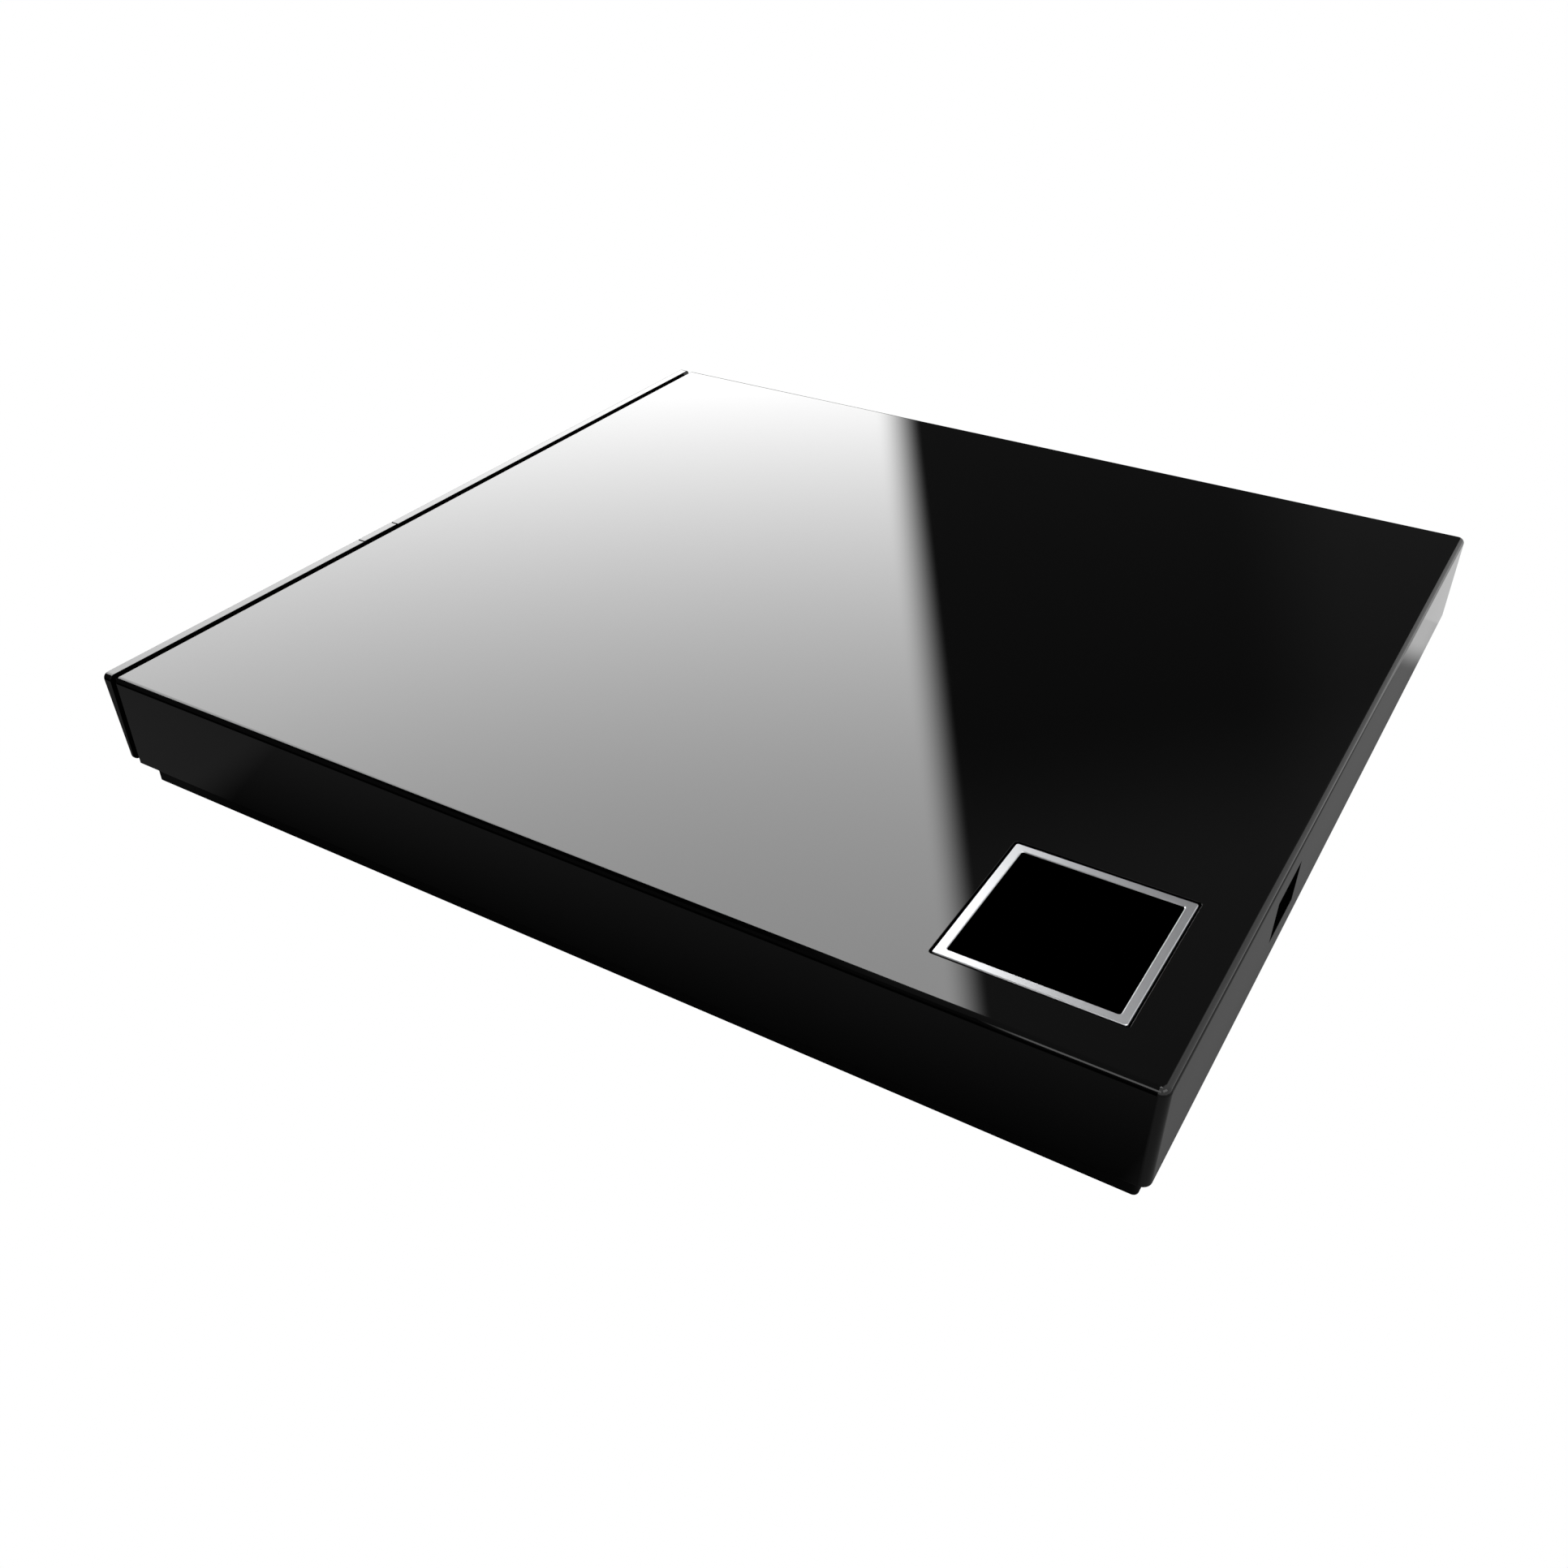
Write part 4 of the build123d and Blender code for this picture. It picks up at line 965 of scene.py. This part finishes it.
@dataclass
class Mechanism:
    """Sheet-metal case of the mechanism with its rails, boards and ribbon."""

    wardrobe: Wardrobe

    def build(self) -> None:
        """Dress the fixed half."""
        self.wardrobe.dress(ZINC_SHEET, "drive_top_case", "drive_bottom_case", "slide_rail_left", "slide_rail_right")
        make_screws(self.wardrobe, "drive_case_screws")
        self.wardrobe.dress(BLACK_NYLON, "rail_guide_left", "rail_guide_right", "drive_sata_plug")
        self.wardrobe.dress(GREEN_BOARD, "drive_rear_board")
        self.wardrobe.dress(RIBBON_FILM, "flex_ribbon_fixed", "flex_ribbon_loop", "flex_ribbon_tray")


@dataclass
class DiscTray:
    """Tray, its plates, board, latch and ejector."""

    wardrobe: Wardrobe
    wire: float = 0.22 * MM
    coil_turns: int = 6

    def build(self) -> None:
        """Dress the tray."""
        self.wardrobe.dress(TRAY_ABS, "disc_tray")
        self.wardrobe.dress(ZINC_SHEET, "tray_cover_plate", "tray_bottom_plate")
        self.wardrobe.dress(GREEN_BOARD, "tray_board")
        self.wardrobe.dress(CHIP_EPOXY, "tray_chips")
        make_screws(self.wardrobe, "tray_board_screws")
        self.wardrobe.dress(BLACK_NYLON, "latch_lever")
        self.wardrobe.dress(MOTOR_CAN, "latch_solenoid")
        self.wardrobe.dress(GROUND_STEEL, "ejector_pin")
        self.ejector_coil()

    def ejector_coil(self) -> None:
        """Wind the spring that pushes the tray out."""
        axis = Vector((0, 1, 0))
        points = loose_parts("ejector_spring")[0]
        start, end = axis_of(points, axis)
        outer = span(points, Vector((1, 0, 0)))[1] - start.x
        length = (end - start).length - 2 * self.wire
        path = []
        for i in range(self.coil_turns * 16 + 1):
            angle, along = math.tau * i / 16, self.wire + length * i / (self.coil_turns * 16)
            around = Vector((math.cos(angle), 0, math.sin(angle))) * (outer - self.wire)
            path.append(start + axis * along + around)
        form = Form()
        form.tube(path, circle(self.wire), axis)
        body = body_of(frame["nodes"]["ejector_spring"])[0]
        coil = form.piece("ejector_coil", self.wardrobe.material(GROUND_STEEL), "bright_steel", body)
        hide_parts("ejector_spring")


@dataclass
class Traverse:
    """Spindle, pickup and what carries them."""

    wardrobe: Wardrobe
    sides: int = 20
    journal: float = 0.6 * MM
    thread_pitch: float = 1.5 * MM
    thread_depth: float = 0.3 * MM
    wire: float = 0.22 * MM
    coil_turns: int = 9

    def build(self) -> None:
        """Dress the traverse unit."""
        self.wardrobe.dress(CAST_ALLOY, "traverse_chassis", "pickup_sled")
        self.wardrobe.dress(MOTOR_CAN, "spindle_rotor", "spindle_stator", "sled_motor")
        self.wardrobe.dress(RUBBER, "chassis_dampers", "turntable_ring")
        make_screws(self.wardrobe, "chassis_screws")
        self.wardrobe.dress(GROUND_STEEL, "guide_rod_main", "guide_rod_sub")
        self.lead_screw()
        self.windings()
        self.wardrobe.dress(ACETAL, "chuck_claw_1", "chuck_claw_2", "chuck_claw_3")
        self.wardrobe.dress(ZINC_SHEET, "pickup_cover")
        self.wardrobe.dress(LENS_HOLDER, "lens_holder")
        self.wardrobe.dress(LENS_GLASS, "objective_lenses")

    def lead_screw(self) -> None:
        """Cut the thread that drives the pickup."""
        axis = Vector((-1, -1, 0)).normalized()
        points = loose_parts("lead_screw")[0]
        start, end = axis_of(points, axis)
        out = [(p - start - axis * (p - start).dot(axis)).length for p in points]
        outer = max(out)
        low, high = span([p for p, r in zip(points, out) if r > 0.9 * outer], axis)
        low, high = low - start.dot(axis), high - start.dot(axis)
        across = axis.orthogonal().normalized()
        second = axis.cross(across)
        turns = [math.tau * k / self.sides for k in range(self.sides)]
        spin = [across * math.cos(turn) + second * math.sin(turn) for turn in turns]

        def ring(along: float, radii: list[float]) -> Ring:
            """Return one ring of the screw's skin."""
            return [start + axis * along + v * r for v, r in zip(spin, radii)]

        rings = [ring(0.0, [self.journal] * self.sides), ring(low, [self.journal] * self.sides)]
        steps = int((high - low) / self.thread_pitch * 10)
        for i in range(steps + 1):
            along = low + (high - low) * i / steps
            phases = [(along / self.thread_pitch - k / self.sides) % 1.0 for k in range(self.sides)]
            rings.append(ring(along, [outer - self.thread_depth * min(1.0, abs(p - 0.5) * 3.2) for p in phases]))
        length = (end - start).length
        rings += [ring(high, [self.journal] * self.sides), ring(length, [self.journal] * self.sides)]
        form = Form()
        form.skin(rings)
        steel = self.wardrobe.material(GROUND_STEEL)
        screw = form.piece("threaded_lead_screw", steel, "bright_steel", "lead_screw")
        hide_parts("lead_screw")

    def windings(self) -> None:
        """Wind each of the stator's teeth with wire."""
        centre_low, centre_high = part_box("spindle_rotor")
        centre = (centre_low + centre_high) / 2
        form = Form()
        for points in loose_parts("stator_coils"):
            low, high = span(points, Vector((0, 0, 1)))
            middle = sum(points, Vector()) / len(points)
            out = Vector((middle.x - centre.x, middle.y - centre.y, 0)).normalized()
            side = out.cross(Vector((0, 0, 1)))
            inner, outer = span(points, out)
            left, right = span(points, side)
            half = ((right - left) / 2 - self.wire, (high - low) / 2 - self.wire)
            base = side * ((left + right) / 2) + Vector((0, 0, (low + high) / 2))
            path = []
            for i in range(self.coil_turns * 16 + 1):
                angle = math.tau * i / 16
                c, s = math.cos(angle), math.sin(angle)
                # A squared-off circle lies close to the tooth's flat sides.
                reach = 1.0 / max(abs(c), abs(s)) ** 0.6
                along = inner + self.wire + (outer - inner - 2 * self.wire) * i / (self.coil_turns * 16)
                over, rise = (half[k] * min(1.0, max(-1.0, (c, s)[k] * reach)) for k in (0, 1))
                path.append(base + out * along + side * over + Vector((0, 0, rise)))
            form.tube(path, circle(self.wire, 6), out)
        coils = form.piece("stator_windings", self.wardrobe.material(COPPER_WIRE), "copper", "tray")
        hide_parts("stator_coils")


@dataclass
class Bridge:
    """The data port, its board and what stands on it."""

    wardrobe: Wardrobe
    contact_count: int = 5
    contact_pitch: float = 0.8 * MM

    def build(self) -> None:
        """Dress the electronics."""
        self.wardrobe.dress(GREEN_BOARD, "bridge_board")
        self.wardrobe.dress(CHIP_EPOXY, "bridge_chips")
        make_screws(self.wardrobe, "board_screws")
        self.wardrobe.dress(BLACK_NYLON, "sata_receptacle")
        self.wardrobe.dress(ZINC_SHEET, "usb_receptacle")
        self.wardrobe.dress(PORT_PLASTIC, "usb_insulator")
        self.contacts()

    def contacts(self) -> None:
        """Add the port's sprung contacts on the tongue."""
        low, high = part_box("usb_insulator")
        middle, top = (low.x + high.x) / 2, self.tongue_top(low, high)
        shape = [(low.y + 1.8 * MM, 0.0), (high.y - 2.2 * MM, 0.0), (high.y - 1.3 * MM, 0.14 * MM)]
        shape.append((high.y - 0.6 * MM, 0.0))
        section = box_section((-0.17 * MM, 0.17 * MM), (0.0, 0.06 * MM))
        form = Form()
        for k in range(self.contact_count):
            x = middle + (k - (self.contact_count - 1) / 2) * self.contact_pitch
            form.tube([Vector((x, y, top + rise)) for y, rise in shape], section, Vector((0, 0, 1)))
        form.piece("port_contacts", self.wardrobe.material(GOLD_CONTACT), "screw_steel", "housing")

    def tongue_top(self, low: Vector, high: Vector) -> float:
        """Return the level of the tongue's upper face, from the insulator's points near its mouth."""
        points = frame["nodes"]["usb_insulator"].data.vertices
        return max(v.co.z for v in points if v.co.y > (low.y + high.y) / 2)


def main() -> None:
    """Build the studio and every sub-assembly in order."""
    Studio().build()
    wardrobe = Wardrobe()
    for part in (Case, FrontPanel, Mechanism, DiscTray, Traverse, Bridge):
        part(wardrobe).build()


if __name__ == "__main__":
    main()
